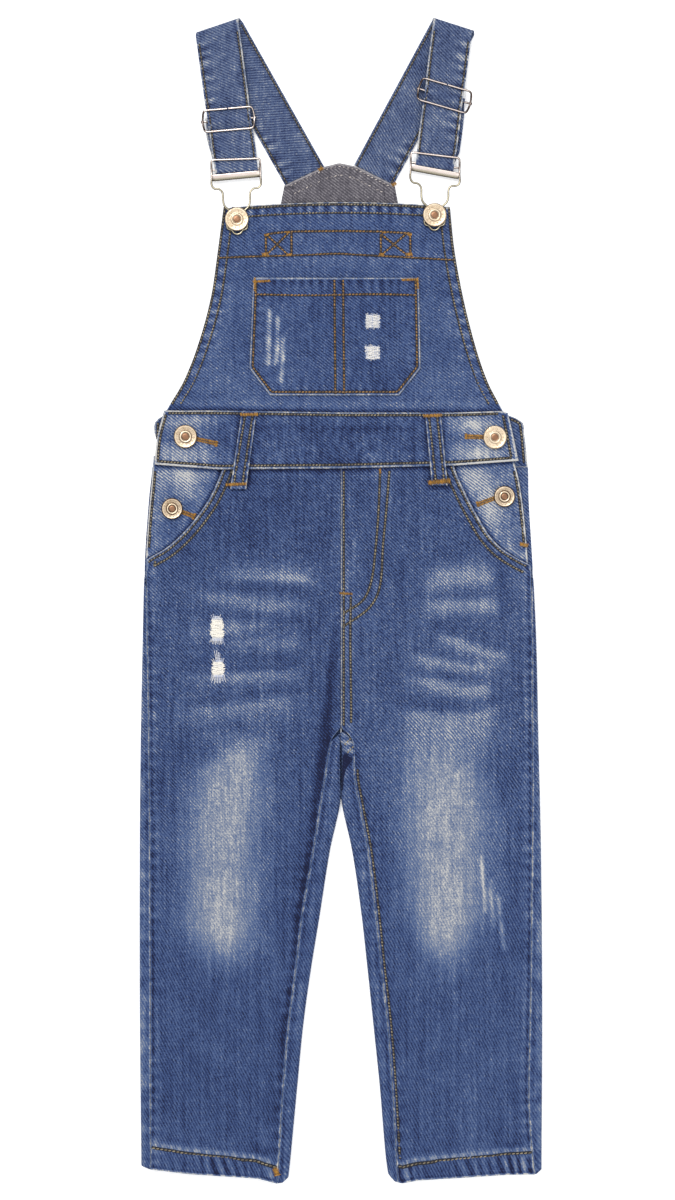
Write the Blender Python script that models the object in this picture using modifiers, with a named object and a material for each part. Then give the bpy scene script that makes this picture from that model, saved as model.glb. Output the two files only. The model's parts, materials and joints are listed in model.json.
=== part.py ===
"""Kids' bib dungarees in denim, laid flat on their back with the straps folded over.

World frame: metres, +Z up. The underside lies on z = 0, the shoulders point to +Y,
the width runs along X, and the origin is the middle of the outline.
All sizes below are millimetres; metres() turns them into Blender units.
Left and right are as seen from above.
"""

import math
from collections import namedtuple

import bmesh
import bpy
from mathutils import Matrix, Vector

MM = 0.001

# ---------------------------------------------------------------- driving sizes
DENIM = 1.2           # one layer of denim
BAND = 1.6            # doubled cloth: waistband and belt loops
STRAP = 1.5           # strap band
WIRE = 0.75           # radius of the slider and buckle wire
GAP = 0.42            # clear gap between neighbouring pieces
SEAM_GAP = 0.95       # the same where two rounded edges meet at a leg seam
FACING_DROP = 0.2     # the pocket facing hangs a little away from the front panel
HEM_RISE = 0.5        # a turned hem stands this much prouder
BIB_HEM = 7.0         # width of the bib's side and top hems
LEG_HEM = 13.0        # depth of the leg hems
ROLL = 3.0            # half width of the rounded fold along a leg's side
FLAT_SIDE = 12.0      # the underside is flat up to this distance from a side
EDGE_SWELL = 0.5      # the cloth stands a little higher beside its folds
SWELL_REACH = 14.0
CROTCH_Y = -91.8
SIDE_SLIT_Y = 22.0    # lower end of the side openings
SLIT_CLOSE = 14.0     # length over which the back panel curls up below them
CROTCH_CLOSE = 9.0    # length over which it curls up below the crotch
CROTCH_ROUND = 32.0   # length over which the inner fold gets its full roundness
SLIT_END = 25.5       # the front panel is full width below this height
LEAST_END = 0.1       # least reach of a curled edge past the side
SQUEEZE = 2.6         # cloth thicknesses a tightly curled edge stops short
HEM_STEP = 1.5        # length over which a hem's step rises
BIB_DROP = 0.7        # the bib lies lower beside its free edges
BIB_DROP_REACH = 12.0
BIB_HEM_START = 139.0 # the bib's hems come out from under the waistband here
BIB_HEM_FADE = 4.0
BIB_TOP_Y = 286.3     # middle of the bib's bowed top edge
BIB_TOP_X = 2.0
BIB_TOP_BOW = 0.00058
BIB_TOP_ROW = 286.0
BIB_BOW_FROM = 230.0  # rows of the bib bow more and more above this height
BIB_BOW_OVER = 50.0

# ---------------------------------------------------------------- tables
Edges = namedtuple("Edges", "y left right")
Legs = namedtuple("Legs", "y left left_seam right right_seam")
Level = namedtuple("Level", "y height")
Across = namedtuple("Across", "x y")
Crease = namedtuple("Crease", "x1 y1 x2 y2 width height")

BODY = (                       # outer outline from the waistband down to the hems
    Edges(136.0, -134.6, 129.5),
    Edges(118.0, -134.7, 132.0),
    Edges(99.0, -135.4, 134.4),
    Edges(72.4, -138.2, 135.0),
    Edges(29.2, -141.1, 137.6),
    Edges(-28.4, -142.6, 140.4),
    Edges(-100.4, -144.0, 142.0),
    Edges(-179.6, -144.7, 143.8),
    Edges(-287.6, -144.7, 144.7),
    Edges(-406.4, -143.6, 144.2),
)
INSIDE_LEG = (                 # inner outlines of the legs and the seams beside them
    Legs(-91.8, -0.4, -0.3, 0.4, 0.3),
    Legs(-96.0, -0.4, -4.2, 0.4, 5.2),
    Legs(-102.0, -0.4, -7.4, 0.4, 8.4),
    Legs(-127.8, -0.4, -11.6, 0.4, 9.9),
    Legs(-145.1, -0.5, -14.5, 0.5, 13.0),
    Legs(-179.6, -7.9, -19.9, 7.9, 19.4),
    Legs(-225.0, -15.1, -27.8, 14.6, 25.0),
    Legs(-265.3, -21.6, -32.6, 19.1, 29.2),
    Legs(-304.2, -27.0, -37.6, 23.2, 33.6),
    Legs(-348.8, -31.4, -41.6, 27.8, 37.0),
    Legs(-400.0, -36.2, -45.0, 32.0, 40.0),
    Legs(-418.0, -38.2, -46.2, 34.4, 41.4),
)
SCOOP = (                      # edge of the front leg panels at the scoop pockets
    Edges(99.5, -84.0, 80.6),
    Edges(92.7, -85.9, 82.4),
    Edges(74.5, -94.0, 90.7),
    Edges(60.1, -103.7, 98.4),
    Edges(47.0, -115.0, 106.4),
    Edges(37.0, -126.6, 116.0),
    Edges(29.2, -139.6, 128.5),
    Edges(25.5, -139.6, 136.2),
)
OUTSEAM = (                    # edge of the front leg panels below the pockets
    Edges(29.2, -140.0, 136.4),
    Edges(-28.4, -139.0, 137.4),
    Edges(-72.0, -138.2, 137.5),
    Edges(-150.0, -137.4, 137.6),
    Edges(-280.0, -136.9, 136.2),
    Edges(-365.0, -136.8, 135.0),
    Edges(-420.0, -136.4, 139.4),
)
FACING_EDGE = (                # outer edge of the pocket facings
    Edges(104.0, -134.8, 123.0),
    Edges(86.8, -136.0, 127.8),
    Edges(58.0, -138.6, 131.8),
    Edges(25.0, -140.6, 134.6),
)
BIB = (
    Edges(286.0, -84.2, 78.2),
    Edges(252.4, -88.6, 81.6),
    Edges(217.8, -93.6, 87.8),
    Edges(183.2, -103.0, 96.5),
    Edges(157.3, -113.2, 105.3),
    Edges(140.0, -123.4, 114.2),
    Edges(131.4, -128.6, 118.9),
)
POCKET = (
    Edges(231.8, -63.1, 56.0),
    Edges(166.8, -65.8, 57.2),
    Edges(147.2, -51.1, 41.6),
)
BACK_BIB = (
    Edges(300.0, -40.7, 38.7),
    Edges(286.2, -43.2, 41.0),
    Edges(245.0, -47.5, 45.5),
    Edges(194.8, -63.0, 60.0),
    Edges(158.8, -83.5, 79.0),
    Edges(133.9, -107.0, 101.0),
)
BACK_BIB_TOP = (Across(-40.7, 298.8), Across(-13.0, 311.8), Across(-1.4, 314.8),
                Across(12.0, 312.1), Across(38.7, 298.7))
BACK_BAND = (
    Edges(133.5, -127.0, 119.5),
    Edges(129.0, -133.4, 130.0),
    Edges(119.0, -133.9, 131.8),
    Edges(112.0, -130.4, 132.8),
    Edges(96.4, -129.6, 134.2),
)
BAND_ENDS = (Edges(136.4, -127.0, 119.8), Edges(117.0, -131.9, 123.9), Edges(97.6, -133.9, 127.4))
BAND_TOP = (Across(-130.0, 136.4), Across(-85.7, 136.4), Across(0.0, 135.0),
            Across(82.0, 135.0), Across(114.5, 136.1), Across(128.0, 132.5))
BAND_BOTTOM = (Across(-135.0, 97.6), Across(-87.0, 94.0), Across(0.0, 94.7),
               Across(82.0, 96.8), Across(128.0, 100.2))
HEM_LEFT = (Across(-143.6, -406.0), Across(-137.0, -408.6), Across(-109.7, -412.0),
            Across(-60.0, -415.2), Across(-46.3, -418.7), Across(-42.0, -418.2),
            Across(-37.5, -414.0))
HEM_RIGHT = (Across(34.0, -412.0), Across(38.5, -417.2), Across(43.9, -418.6),
             Across(55.4, -416.5), Across(87.1, -414.6), Across(118.8, -412.5),
             Across(140.0, -412.0), Across(144.4, -408.4))
LEVELS = (                     # height of the upper layer's outside above the floor
    Level(300.0, 3.5),
    Level(220.0, 3.7),
    Level(150.0, 4.4),
    Level(100.0, 5.1),
    Level(0.0, 5.0),
    Level(-120.0, 4.7),
    Level(-300.0, 4.5),
    Level(-420.0, 4.8),
)
CREASES = (                    # soft ridges (height > 0) and troughs (height < 0)
    Crease(-88.0, 17.3, -17.0, 13.0, 6.0, 0.55),
    Crease(-112.0, 4.3, -19.5, -6.0, 6.0, 0.60),
    Crease(-113.0, -24.0, -51.0, -16.0, 5.5, 0.50),
    Crease(-81.0, -31.0, -25.5, -31.0, 5.5, 0.50),
    Crease(-112.0, -57.0, -29.5, -53.0, 6.0, 0.50),
    Crease(-115.0, -83.0, -29.5, -72.0, 6.5, 0.55),
    Crease(-100.0, -43.0, -30.0, -42.0, 5.0, -0.35),
    Crease(56.0, 12.0, 112.0, 17.5, 7.0, 0.55),
    Crease(57.0, -4.5, 115.5, -4.0, 6.0, 0.60),
    Crease(66.0, -26.5, 122.0, -42.5, 5.5, 0.50),
    Crease(47.0, -41.0, 112.0, -49.0, 5.0, 0.50),
    Crease(46.0, -58.0, 112.0, -65.0, 6.0, 0.50),
    Crease(37.0, -83.0, 118.0, -81.0, 6.5, 0.55),
    Crease(45.0, -52.5, 105.0, -55.5, 4.0, -0.30),
    Crease(-9.0, 0.0, -11.0, -112.0, 4.5, -0.60),
    Crease(10.0, -30.0, 24.0, -185.0, 9.0, 0.45),
    Crease(-30.0, -88.0, -60.0, -150.0, 9.0, 0.45),
    Crease(-76.0, -103.0, -88.0, -257.0, 13.0, 0.55),
    Crease(73.0, -112.0, 75.0, -257.0, 12.0, 0.50),
    Crease(-118.0, -120.0, -124.0, -330.0, 10.0, -0.35),
    Crease(112.0, -130.0, 116.0, -340.0, 10.0, -0.35),
    Crease(-60.0, -275.0, -96.0, -385.0, 12.0, 0.40),
    Crease(58.0, -270.0, 100.0, -390.0, 12.0, 0.40),
    Crease(-118.0, -300.0, -70.0, -330.0, 9.0, -0.30),
    Crease(66.0, -340.0, 118.0, -318.0, 9.0, -0.30),
    Crease(-70.0, 243.0, 62.0, 245.0, 6.0, 0.30),
    Crease(-95.0, 150.0, -40.0, 141.0, 7.0, 0.40),
    Crease(20.0, 141.0, 90.0, 152.0, 7.0, 0.40),
    Crease(-80.0, 225.0, -98.0, 160.0, 8.0, 0.35),
    Crease(76.0, 225.0, 92.0, 165.0, 8.0, 0.35),
    Crease(-70.0, 112.0, 60.0, 116.0, 9.0, 0.30),
)


# ---------------------------------------------------------------- curves and tables
def metres(x, y, z):
    return Vector((x * MM, y * MM, z * MM))


def smooth(t):
    """0 below 0, 1 above 1, and an S-curve between them."""
    t = min(max(t, 0.0), 1.0)
    return t * t * (3.0 - 2.0 * t)


def mix(a, b, t):
    return a + (b - a) * t


def curve_value(places, values, at):
    """Smooth curve through the given values, read at a place (places ascending)."""
    if at <= places[0]:
        return values[0]
    if at >= places[-1]:
        return values[-1]
    i = max(k for k, place in enumerate(places[:-1]) if place <= at)
    slopes = []
    for k in (i, i + 1):
        low, high = max(k - 1, 0), min(k + 1, len(places) - 1)
        slopes.append((values[high] - values[low]) / (places[high] - places[low]))
    step = places[i + 1] - places[i]
    t = (at - places[i]) / step
    rise = values[i + 1] - values[i]
    pull = slopes[0] * step * t * (1 - t) ** 2 - slopes[1] * step * t * t * (1 - t)
    return values[i] + rise * t * t * (3 - 2 * t) + pull


def down(rows, column, y):
    """A table's column as a smooth function of y; the rows run from high y to low."""
    ordered = rows[::-1]
    return curve_value([r.y for r in ordered], [getattr(r, column) for r in ordered], y)


def straight(places, values, at):
    """Straight runs through the values, read at a place (places ascending)."""
    if at <= places[0]:
        return values[0]
    for k in range(len(places) - 1):
        if at <= places[k + 1]:
            t = (at - places[k]) / (places[k + 1] - places[k])
            return mix(values[k], values[k + 1], t)
    return values[-1]


def straight_down(rows, column, y):
    ordered = rows[::-1]
    return straight([r.y for r in ordered], [getattr(r, column) for r in ordered], y)


def side_to_side(rows, x):
    """A table's y as a function of x, in straight runs."""
    return straight([r.x for r in rows], [r.y for r in rows], x)


# ---------------------------------------------------------------- the cloth's height
CREASE_REACH = 3.0     # a crease ends this many of its widths from its line


def crease_height(x, y):
    total = 0.0
    for c in CREASES:
        run_x, run_y = c.x2 - c.x1, c.y2 - c.y1
        t = ((x - c.x1) * run_x + (y - c.y1) * run_y) / (run_x ** 2 + run_y ** 2)
        t = min(max(t, 0.0), 1.0)
        away = math.hypot(x - c.x1 - run_x * t, y - c.y1 - run_y * t) / c.width
        if away < CREASE_REACH:
            total += c.height * math.exp(-away * away)
    return total


def level(x, y):
    """Outside of the upper layer, away from any fold."""
    return down(LEVELS, "height", y) + crease_height(x, y)


def inner_roll(y):
    """Half width of the fold along the inside leg: none at the crotch."""
    return ROLL * smooth((CROTCH_Y - y) / CROTCH_ROUND)


def leg_edges(y, x):
    """The side folds near x: (edge, half width of the fold)."""
    folds = [(down(BODY, "left", y), ROLL), (down(BODY, "right", y), ROLL)]
    if y < CROTCH_Y:
        side = "left" if x < 0 else "right"
        folds.append((down(INSIDE_LEG, side, y), inner_roll(y)))
    return folds


def top_height(x, y):
    """Outside of the body's upper layer, rolling down to the side folds."""
    height = level(x, y)
    folds = [(abs(x - edge), roll) for edge, roll in leg_edges(y, x)]
    for distance, roll in folds:
        height += EDGE_SWELL * (roll / ROLL) * math.exp(-(distance / SWELL_REACH) ** 2)
    for distance, roll in folds:
        if distance < roll:
            half = height / 2
            height = half + half * math.sqrt(max(0.0, 1 - (1 - distance / roll) ** 2))
    return height


def hem_rise(depth, width):
    """Extra height inside a turned hem, at a depth in from its edge."""
    return HEM_RISE * smooth((width - depth) / HEM_STEP + 0.5)


def bib_height(x, y):
    """Outside of the bib: lower at its free edges, with raised hems."""
    side = min(x - down(BIB, "left", y), down(BIB, "right", y) - x)
    top = bib_top(x) - y
    height = level(x, y) - BIB_DROP * math.exp(-(side / BIB_DROP_REACH) ** 2)
    above_waist = smooth((y - BIB_HEM_START) / BIB_HEM_FADE)
    return height + above_waist * max(hem_rise(side, BIB_HEM), hem_rise(top, BIB_HEM))


def bib_top(x):
    return BIB_TOP_Y - BIB_TOP_BOW * (x - BIB_TOP_X) ** 2


# ---------------------------------------------------------------- objects
MODEL = "kids_dungarees"
CUTTERS = "kids_dungarees_cutters"


def start():
    for old in list(bpy.data.objects):
        bpy.data.objects.remove(old, do_unlink=True)
    for name in (MODEL, CUTTERS):
        collection = bpy.data.collections.new(name)
        bpy.context.scene.collection.children.link(collection)


def material(name, colour, roughness, metallic=0.0):
    surface = bpy.data.materials.new(name + "_material")
    surface.use_nodes = True
    shader = surface.node_tree.nodes["Principled BSDF"]
    shader.inputs["Base Color"].default_value = (*colour, 1.0)
    shader.inputs["Roughness"].default_value = roughness
    shader.inputs["Metallic"].default_value = metallic
    return surface


DENIM_BLUE = (0.058, 0.090, 0.205)
FADED_BLUE = (0.20, 0.235, 0.33)
STRAP_BLUE = (0.105, 0.135, 0.24)
INSIDE_GREY = (0.15, 0.145, 0.165)


def new_object(name, mesh, surface):
    item = bpy.data.objects.new(name, mesh)
    bpy.data.collections[MODEL].objects.link(item)
    mesh.materials.append(surface)
    return item


def sheet(name, rows, thickness, colour, offset=-1.0):
    """A cloth wall: a grid of outside points (normals to the right of row x column)."""
    mesh = bpy.data.meshes.new(name)
    points = [metres(*point) for row in rows for point in row]
    wide = len(rows[0])
    faces = []
    for i in range(len(rows) - 1):
        for j in range(wide - 1):
            k = i * wide + j
            faces.append((k, k + wide, k + wide + 1, k + 1))
    mesh.from_pydata(points, [], faces)
    mesh.validate()
    mesh.shade_smooth()
    item = new_object(name, mesh, material(name, colour, 0.85))
    wall = item.modifiers.new("wall", "SOLIDIFY")
    wall.thickness = thickness * MM
    wall.offset = offset
    wall.use_even_offset = True
    return item


def steps(first, last, count):
    return [mix(first, last, k / count) for k in range(count + 1)]


def spread(low, high, near, count):
    """Places from low to high, with close ones beside both ends."""
    inner = steps(low + near[-1], high - near[-1], count)
    return [low + n for n in near[:-1]] + inner + [high - n for n in near[-2::-1]]


# ---------------------------------------------------------------- legs
LEG_ROWS = (99.5, 88.0, 74.5, 60.0, 50.0, 43.0, 36.5, 31.5, 27.0, 21.0, 10.0, -3.0,
            -16.0, -28.0, -42.0, -55.0, -68.0, -80.0, -91.0, -94.5, -99.0, -106.0,
            -116.0, -130.0, -150.0, -180.0, -225.0, -265.0, -304.0, -350.0, -398.0, -402.0, -414.0)
BACK_ROWS = (96.0, 75.0, 50.0, 22.0, 17.5, 13.0, 8.0, -3.0, -28.0, -55.0, -80.0, -91.8, -94.0,
             -96.5, -100.8, -108.0, -124.0, -150.0, -180.0, -225.0, -265.0, -304.0, -350.0, -400.0,
             -414.0)
HEM_LEVEL = -414.0            # where the last row lies before it follows the hem
HEM_FOLLOW = 80.0             # rows bend towards the hem's line over this length
LEG_EDGE = (0.0, 2.0, 7.0)    # columns beside a leg panel's edges
LEG_COLUMNS = 7
LEAST_ROLL = 0.05
FOLD_SHARES = (0.0, 0.15, 0.29, 0.43, 0.58, 0.75, 0.9, 1.0)


def leg_y(x, y, hem):
    """A row's own y: the last rows follow the slanting hem."""
    return y + (side_to_side(hem, x) - HEM_LEVEL) * smooth(1 - (y - HEM_LEVEL) / HEM_FOLLOW)


def front_leg(side):
    sign = -1 if side == "left" else 1
    hem = HEM_LEFT if side == "left" else HEM_RIGHT
    rows = []
    for y in LEG_ROWS:
        outer = sign * down(OUTSEAM, side, y)
        if y > SLIT_END:
            outer = min(outer, max(sign * down(SCOOP, side, y), 0.0))
        outer = sign * outer
        inner = down(INSIDE_LEG, side + "_seam", y) if y < CROTCH_Y else sign * GAP / 2
        row = []
        for x in spread(min(outer, inner), max(outer, inner), LEG_EDGE, LEG_COLUMNS):
            place = leg_y(x, y, hem)
            rise = hem_rise(y - HEM_LEVEL, LEG_HEM)
            row.append((x, place, top_height(x, y) + rise))
        rows.append(row)
    return sheet("front_leg_" + side, rows, DENIM, DENIM_BLUE)


def fold_points(edge, inward, y, roll, seam, curl):
    """Outside of the back panel near one side, from its flat underside outwards and up.

    edge is the side's x, inward is +1 or -1 towards the cloth, roll the fold's half width,
    seam how far from the edge the panel ends on top, curl 0 (flat) to 1 (all the way round).
    """
    half = top_height(edge + inward * max(roll, LEAST_ROLL), y) / 2
    bend = (roll + half) / 2
    flat = FLAT_SIDE - roll
    end = seam - SEAM_GAP - SQUEEZE * DENIM * max(0.0, 1 - seam / max(roll, seam))
    end = max(end, LEAST_END)
    if end >= roll:
        up = math.pi * bend + end - roll
    else:
        up = bend * (math.pi - math.asin(min(1.0, 1 - end / roll)))
    shrink = (flat + curl * up) / (flat + up)
    points = []
    for share in FOLD_SHARES:
        run = (flat * 0.5 + (flat * 0.5 + up) * share) * shrink
        turn = (run - flat) / bend
        if turn <= 0:
            points.append((edge + inward * (FLAT_SIDE - run), 0.0))
        elif turn < math.pi:
            across = roll - roll * math.sin(turn)
            points.append((edge + inward * across, half - half * math.cos(turn)))
        else:
            x = edge + inward * (roll + run - flat - math.pi * bend)
            points.append((x, top_height(x, y)))
    return points


def back_leg(side):
    sign = -1 if side == "left" else 1
    hem = HEM_LEFT if side == "left" else HEM_RIGHT
    rows = []
    for y in BACK_ROWS:
        edge = down(BODY, side, y)
        seam = abs(down(OUTSEAM, side, y) - edge)
        curl = smooth((SIDE_SLIT_Y - y) / SLIT_CLOSE)
        outer = fold_points(edge, -sign, y, ROLL * curl, seam, curl)
        below = y < CROTCH_Y
        inner_edge = down(INSIDE_LEG, side, y) if below else sign * GAP / 2
        inner_seam = abs(down(INSIDE_LEG, side + "_seam", y) - inner_edge) if below else SEAM_GAP
        inner_curl = smooth((CROTCH_Y - y) / CROTCH_CLOSE)
        inner = fold_points(inner_edge, sign, y, inner_roll(y), inner_seam, inner_curl)
        middle = steps(outer[0][0], inner[0][0], 4)[1:-1]
        section = outer[::-1] + [(x, 0.0) for x in middle] + inner
        if side == "right":
            section.reverse()
        row = [(x, leg_y(x, y, hem), z) for x, z in section]
        rows.append(row[::-1])
    return sheet("back_leg_" + side, rows, DENIM, DENIM_BLUE)


FACING_ROWS = (104.0, 98.0, 90.0, 80.0, 70.0, 60.0, 50.0, 41.0, 33.0, 25.5)
FACING_UNDER = 7.0            # the facing runs on this far under the front panel


def pocket_facing(side):
    """Side piece that shows in the scoop."""
    sign = -1 if side == "left" else 1
    rows = []
    for y in FACING_ROWS:
        outer = down(FACING_EDGE, side, y)
        inner = down(SCOOP, side, y) - sign * FACING_UNDER
        row = []
        for x in spread(min(outer, inner), max(outer, inner), (0.0, 0.8), 5):
            row.append((x, y, top_height(x, y) - DENIM - GAP - FACING_DROP))
        rows.append(row)
    return sheet("pocket_facing_" + side, rows, DENIM, FADED_BLUE)


# ---------------------------------------------------------------- bib and waist
BIB_ROWS = (BIB_TOP_ROW, 284.0, 279.5, 277.0, 262.0, 246.0, 228.0, 210.0, 192.0, 175.0, 160.0,
            148.0, 141.0, 136.0, 131.4)
BIB_EDGE = (0.0, 1.6, 6.2, 8.6)          # columns on both sides of the side hems' steps
POCKET_ROWS = (231.8, 224.0, 212.0, 200.0, 188.0, 177.0, 166.8, 157.0, 147.2)
BAND_SHARES = (1.0, 0.92, 0.7, 0.45, 0.2, 0.08, 0.0)     # from the band's top edge down
BACK_BAND_ROWS = (133.5, 131.0, 126.0, 119.0, 112.0, 96.4)
BACK_BIB_ROWS = (300.0, 286.2, 245.0, 210.0, 180.0, 158.8, 145.0, 133.9)
BACK_BIB_SHARES = (0.0, 0.17, 0.35, 0.5, 0.67, 0.83, 1.0)


def front_bib():
    rows = []
    for y in BIB_ROWS:
        left, right = down(BIB, "left", y), down(BIB, "right", y)
        row = []
        for x in spread(left, right, BIB_EDGE, 9):
            bow = bib_top(x) - BIB_TOP_ROW
            place = y + bow * smooth((y - BIB_BOW_FROM) / BIB_BOW_OVER)
            row.append((x, place, bib_height(x, place)))
        rows.append(row)
    return sheet("front_bib", rows, DENIM, DENIM_BLUE)


def bib_pocket():
    rows = []
    for y in POCKET_ROWS:
        left, right = straight_down(POCKET, "left", y), straight_down(POCKET, "right", y)
        row = [(x, y, bib_height(x, y) + GAP + DENIM) for x in steps(left, right, 10)]
        rows.append(row)
    return sheet("bib_pocket", rows, DENIM, DENIM_BLUE)


def band_height(x, y):
    return top_height(x, y) + GAP + BAND


def front_waistband():
    rows = []
    for v in BAND_SHARES:
        y_middle = mix(BAND_ENDS[-1].y, BAND_ENDS[0].y, v)
        left, right = down(BAND_ENDS, "left", y_middle), down(BAND_ENDS, "right", y_middle)
        row = []
        for x in spread(left, right, (0.0, 1.5, 4.0), 12):
            y = mix(side_to_side(BAND_BOTTOM, x), side_to_side(BAND_TOP, x), v)
            row.append((x, y, band_height(x, y)))
        rows.append(row)
    return sheet("front_waistband", rows, BAND, DENIM_BLUE)


def back_waistband():
    rows = []
    for y in BACK_BAND_ROWS:
        left, right = down(BACK_BAND, "left", y), down(BACK_BAND, "right", y)
        rows.append([(x, y, 0.0) for x in steps(right, left, 4)])
    return sheet("back_waistband", rows, BAND, DENIM_BLUE)


def back_bib():
    """The back's bib, face down: the side that shows is its inside."""
    rows = []
    for y in BACK_BIB_ROWS:
        left, right = down(BACK_BIB, "left", y), down(BACK_BIB, "right", y)
        row = []
        for share in BACK_BIB_SHARES:
            x = mix(right, left, share)
            place = side_to_side(BACK_BIB_TOP, x) if y == BACK_BIB_ROWS[0] else y
            row.append((x, place, 0.0))
        rows.append(row)
    return sheet("back_bib", rows, DENIM, INSIDE_GREY)


Loop = namedtuple("Loop", "side top_x1 top_x2 top_y low_x1 low_x2 low_y")
LOOPS = (
    Loop("left", -71.4, -60.5, 135.0, -79.6, -68.0, 79.8),
    Loop("right", 60.2, 71.6, 134.0, 65.2, 76.6, 82.6),
)


LOOP_STEP_Y = 82.5                       # the loop climbs onto the waistband from here
LOOP_STEP = 8.0


def belt_loop(loop):
    """Runs down over the waistband and is tacked to the leg below it."""
    rows = []
    for v in steps(0.0, 1.0, 12):
        y = mix(loop.top_y, loop.low_y, v)
        x1, x2 = mix(loop.top_x1, loop.low_x1, v), mix(loop.top_x2, loop.low_x2, v)
        on_band = smooth((y - LOOP_STEP_Y) / LOOP_STEP)
        row = []
        for x in (x1, (x1 + x2) / 2, x2):
            row.append((x, y, top_height(x, y) + GAP + BAND + on_band * (GAP + BAND)))
        rows.append(row)
    return sheet("belt_loop_" + loop.side, rows, BAND, DENIM_BLUE)


# ---------------------------------------------------------------- straps
StrapLie = namedtuple("StrapLie", "side low_x low_y fold_x fold_y fold_slope slider_y width_front "
                      "width_back shift_back slider_tilt buckle_tilt lift_from end_1 end_2")
# low is the middle of the strap at the buckle's bar, fold the middle of the shoulder fold,
# and shift_back how far the back run lies to the right of the front run's mirror image
STRAPS = (
    StrapLie("left", -75.2, 309.6, -89.4, 413.4, 18.6, 345.3, 31.8, 31.0, 2.0, 5.0, 3.0, 24.0,
             (-40.7, 298.8), (-13.0, 311.8)),
    StrapLie("right", 67.4, 312.6, 80.4, 414.6, -17.8, 362.3, 28.6, 31.6, 1.6, -16.2, -8.0, 12.0,
             (38.7, 298.7), (12.0, 312.1)),
)
BUCKLE_BAR_Z = 3.4
SLIDER_BAR_Z = 4.4
ROUND_BAR = WIRE + GAP + STRAP / 2       # middle of the strap round a bar
UPPER_Z = 5.0                            # middle of the strap's upper run
SLIDER_PINCH = 2.2                       # the strap is drawn in where it passes the hardware
SLIDER_PINCH_REACH = 11.0
BUCKLE_PINCH = 1.2
BUCKLE_PINCH_REACH = 9.0
BUCKLE_SKEW = (-3.0, 8.0)                # the strap's rows lie along the buckle's bar here
SLIDER_SKEW = 9.0                        # and along the slider's bar this near to it
FOLD_SKEW = 6.0                          # and along the shoulder fold this near to it
STRAP_SHARES = (-1 / 2, -1 / 6, 1 / 6, 1 / 2)
FOLD_Z = 4.6                             # the same beside the shoulder fold
UNDER_Z = SLIDER_BAR_Z - ROUND_BAR       # middle of the run that returns below
HUMP = ((-6.8, 0.0), (-4.4, 1.2), (-2.2, 2.9), (0.0, 3.3), (2.2, 2.9), (4.4, 1.2), (6.8, 0.0))


def turn(centre_s, centre_z, radius, first, last, count):
    """Points of an arc in the strap's length section, angles in degrees from +s."""
    arc = []
    for angle in steps(math.radians(first), math.radians(last), count):
        arc.append((centre_s + radius * math.cos(angle), centre_z + radius * math.sin(angle)))
    return arc


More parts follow.
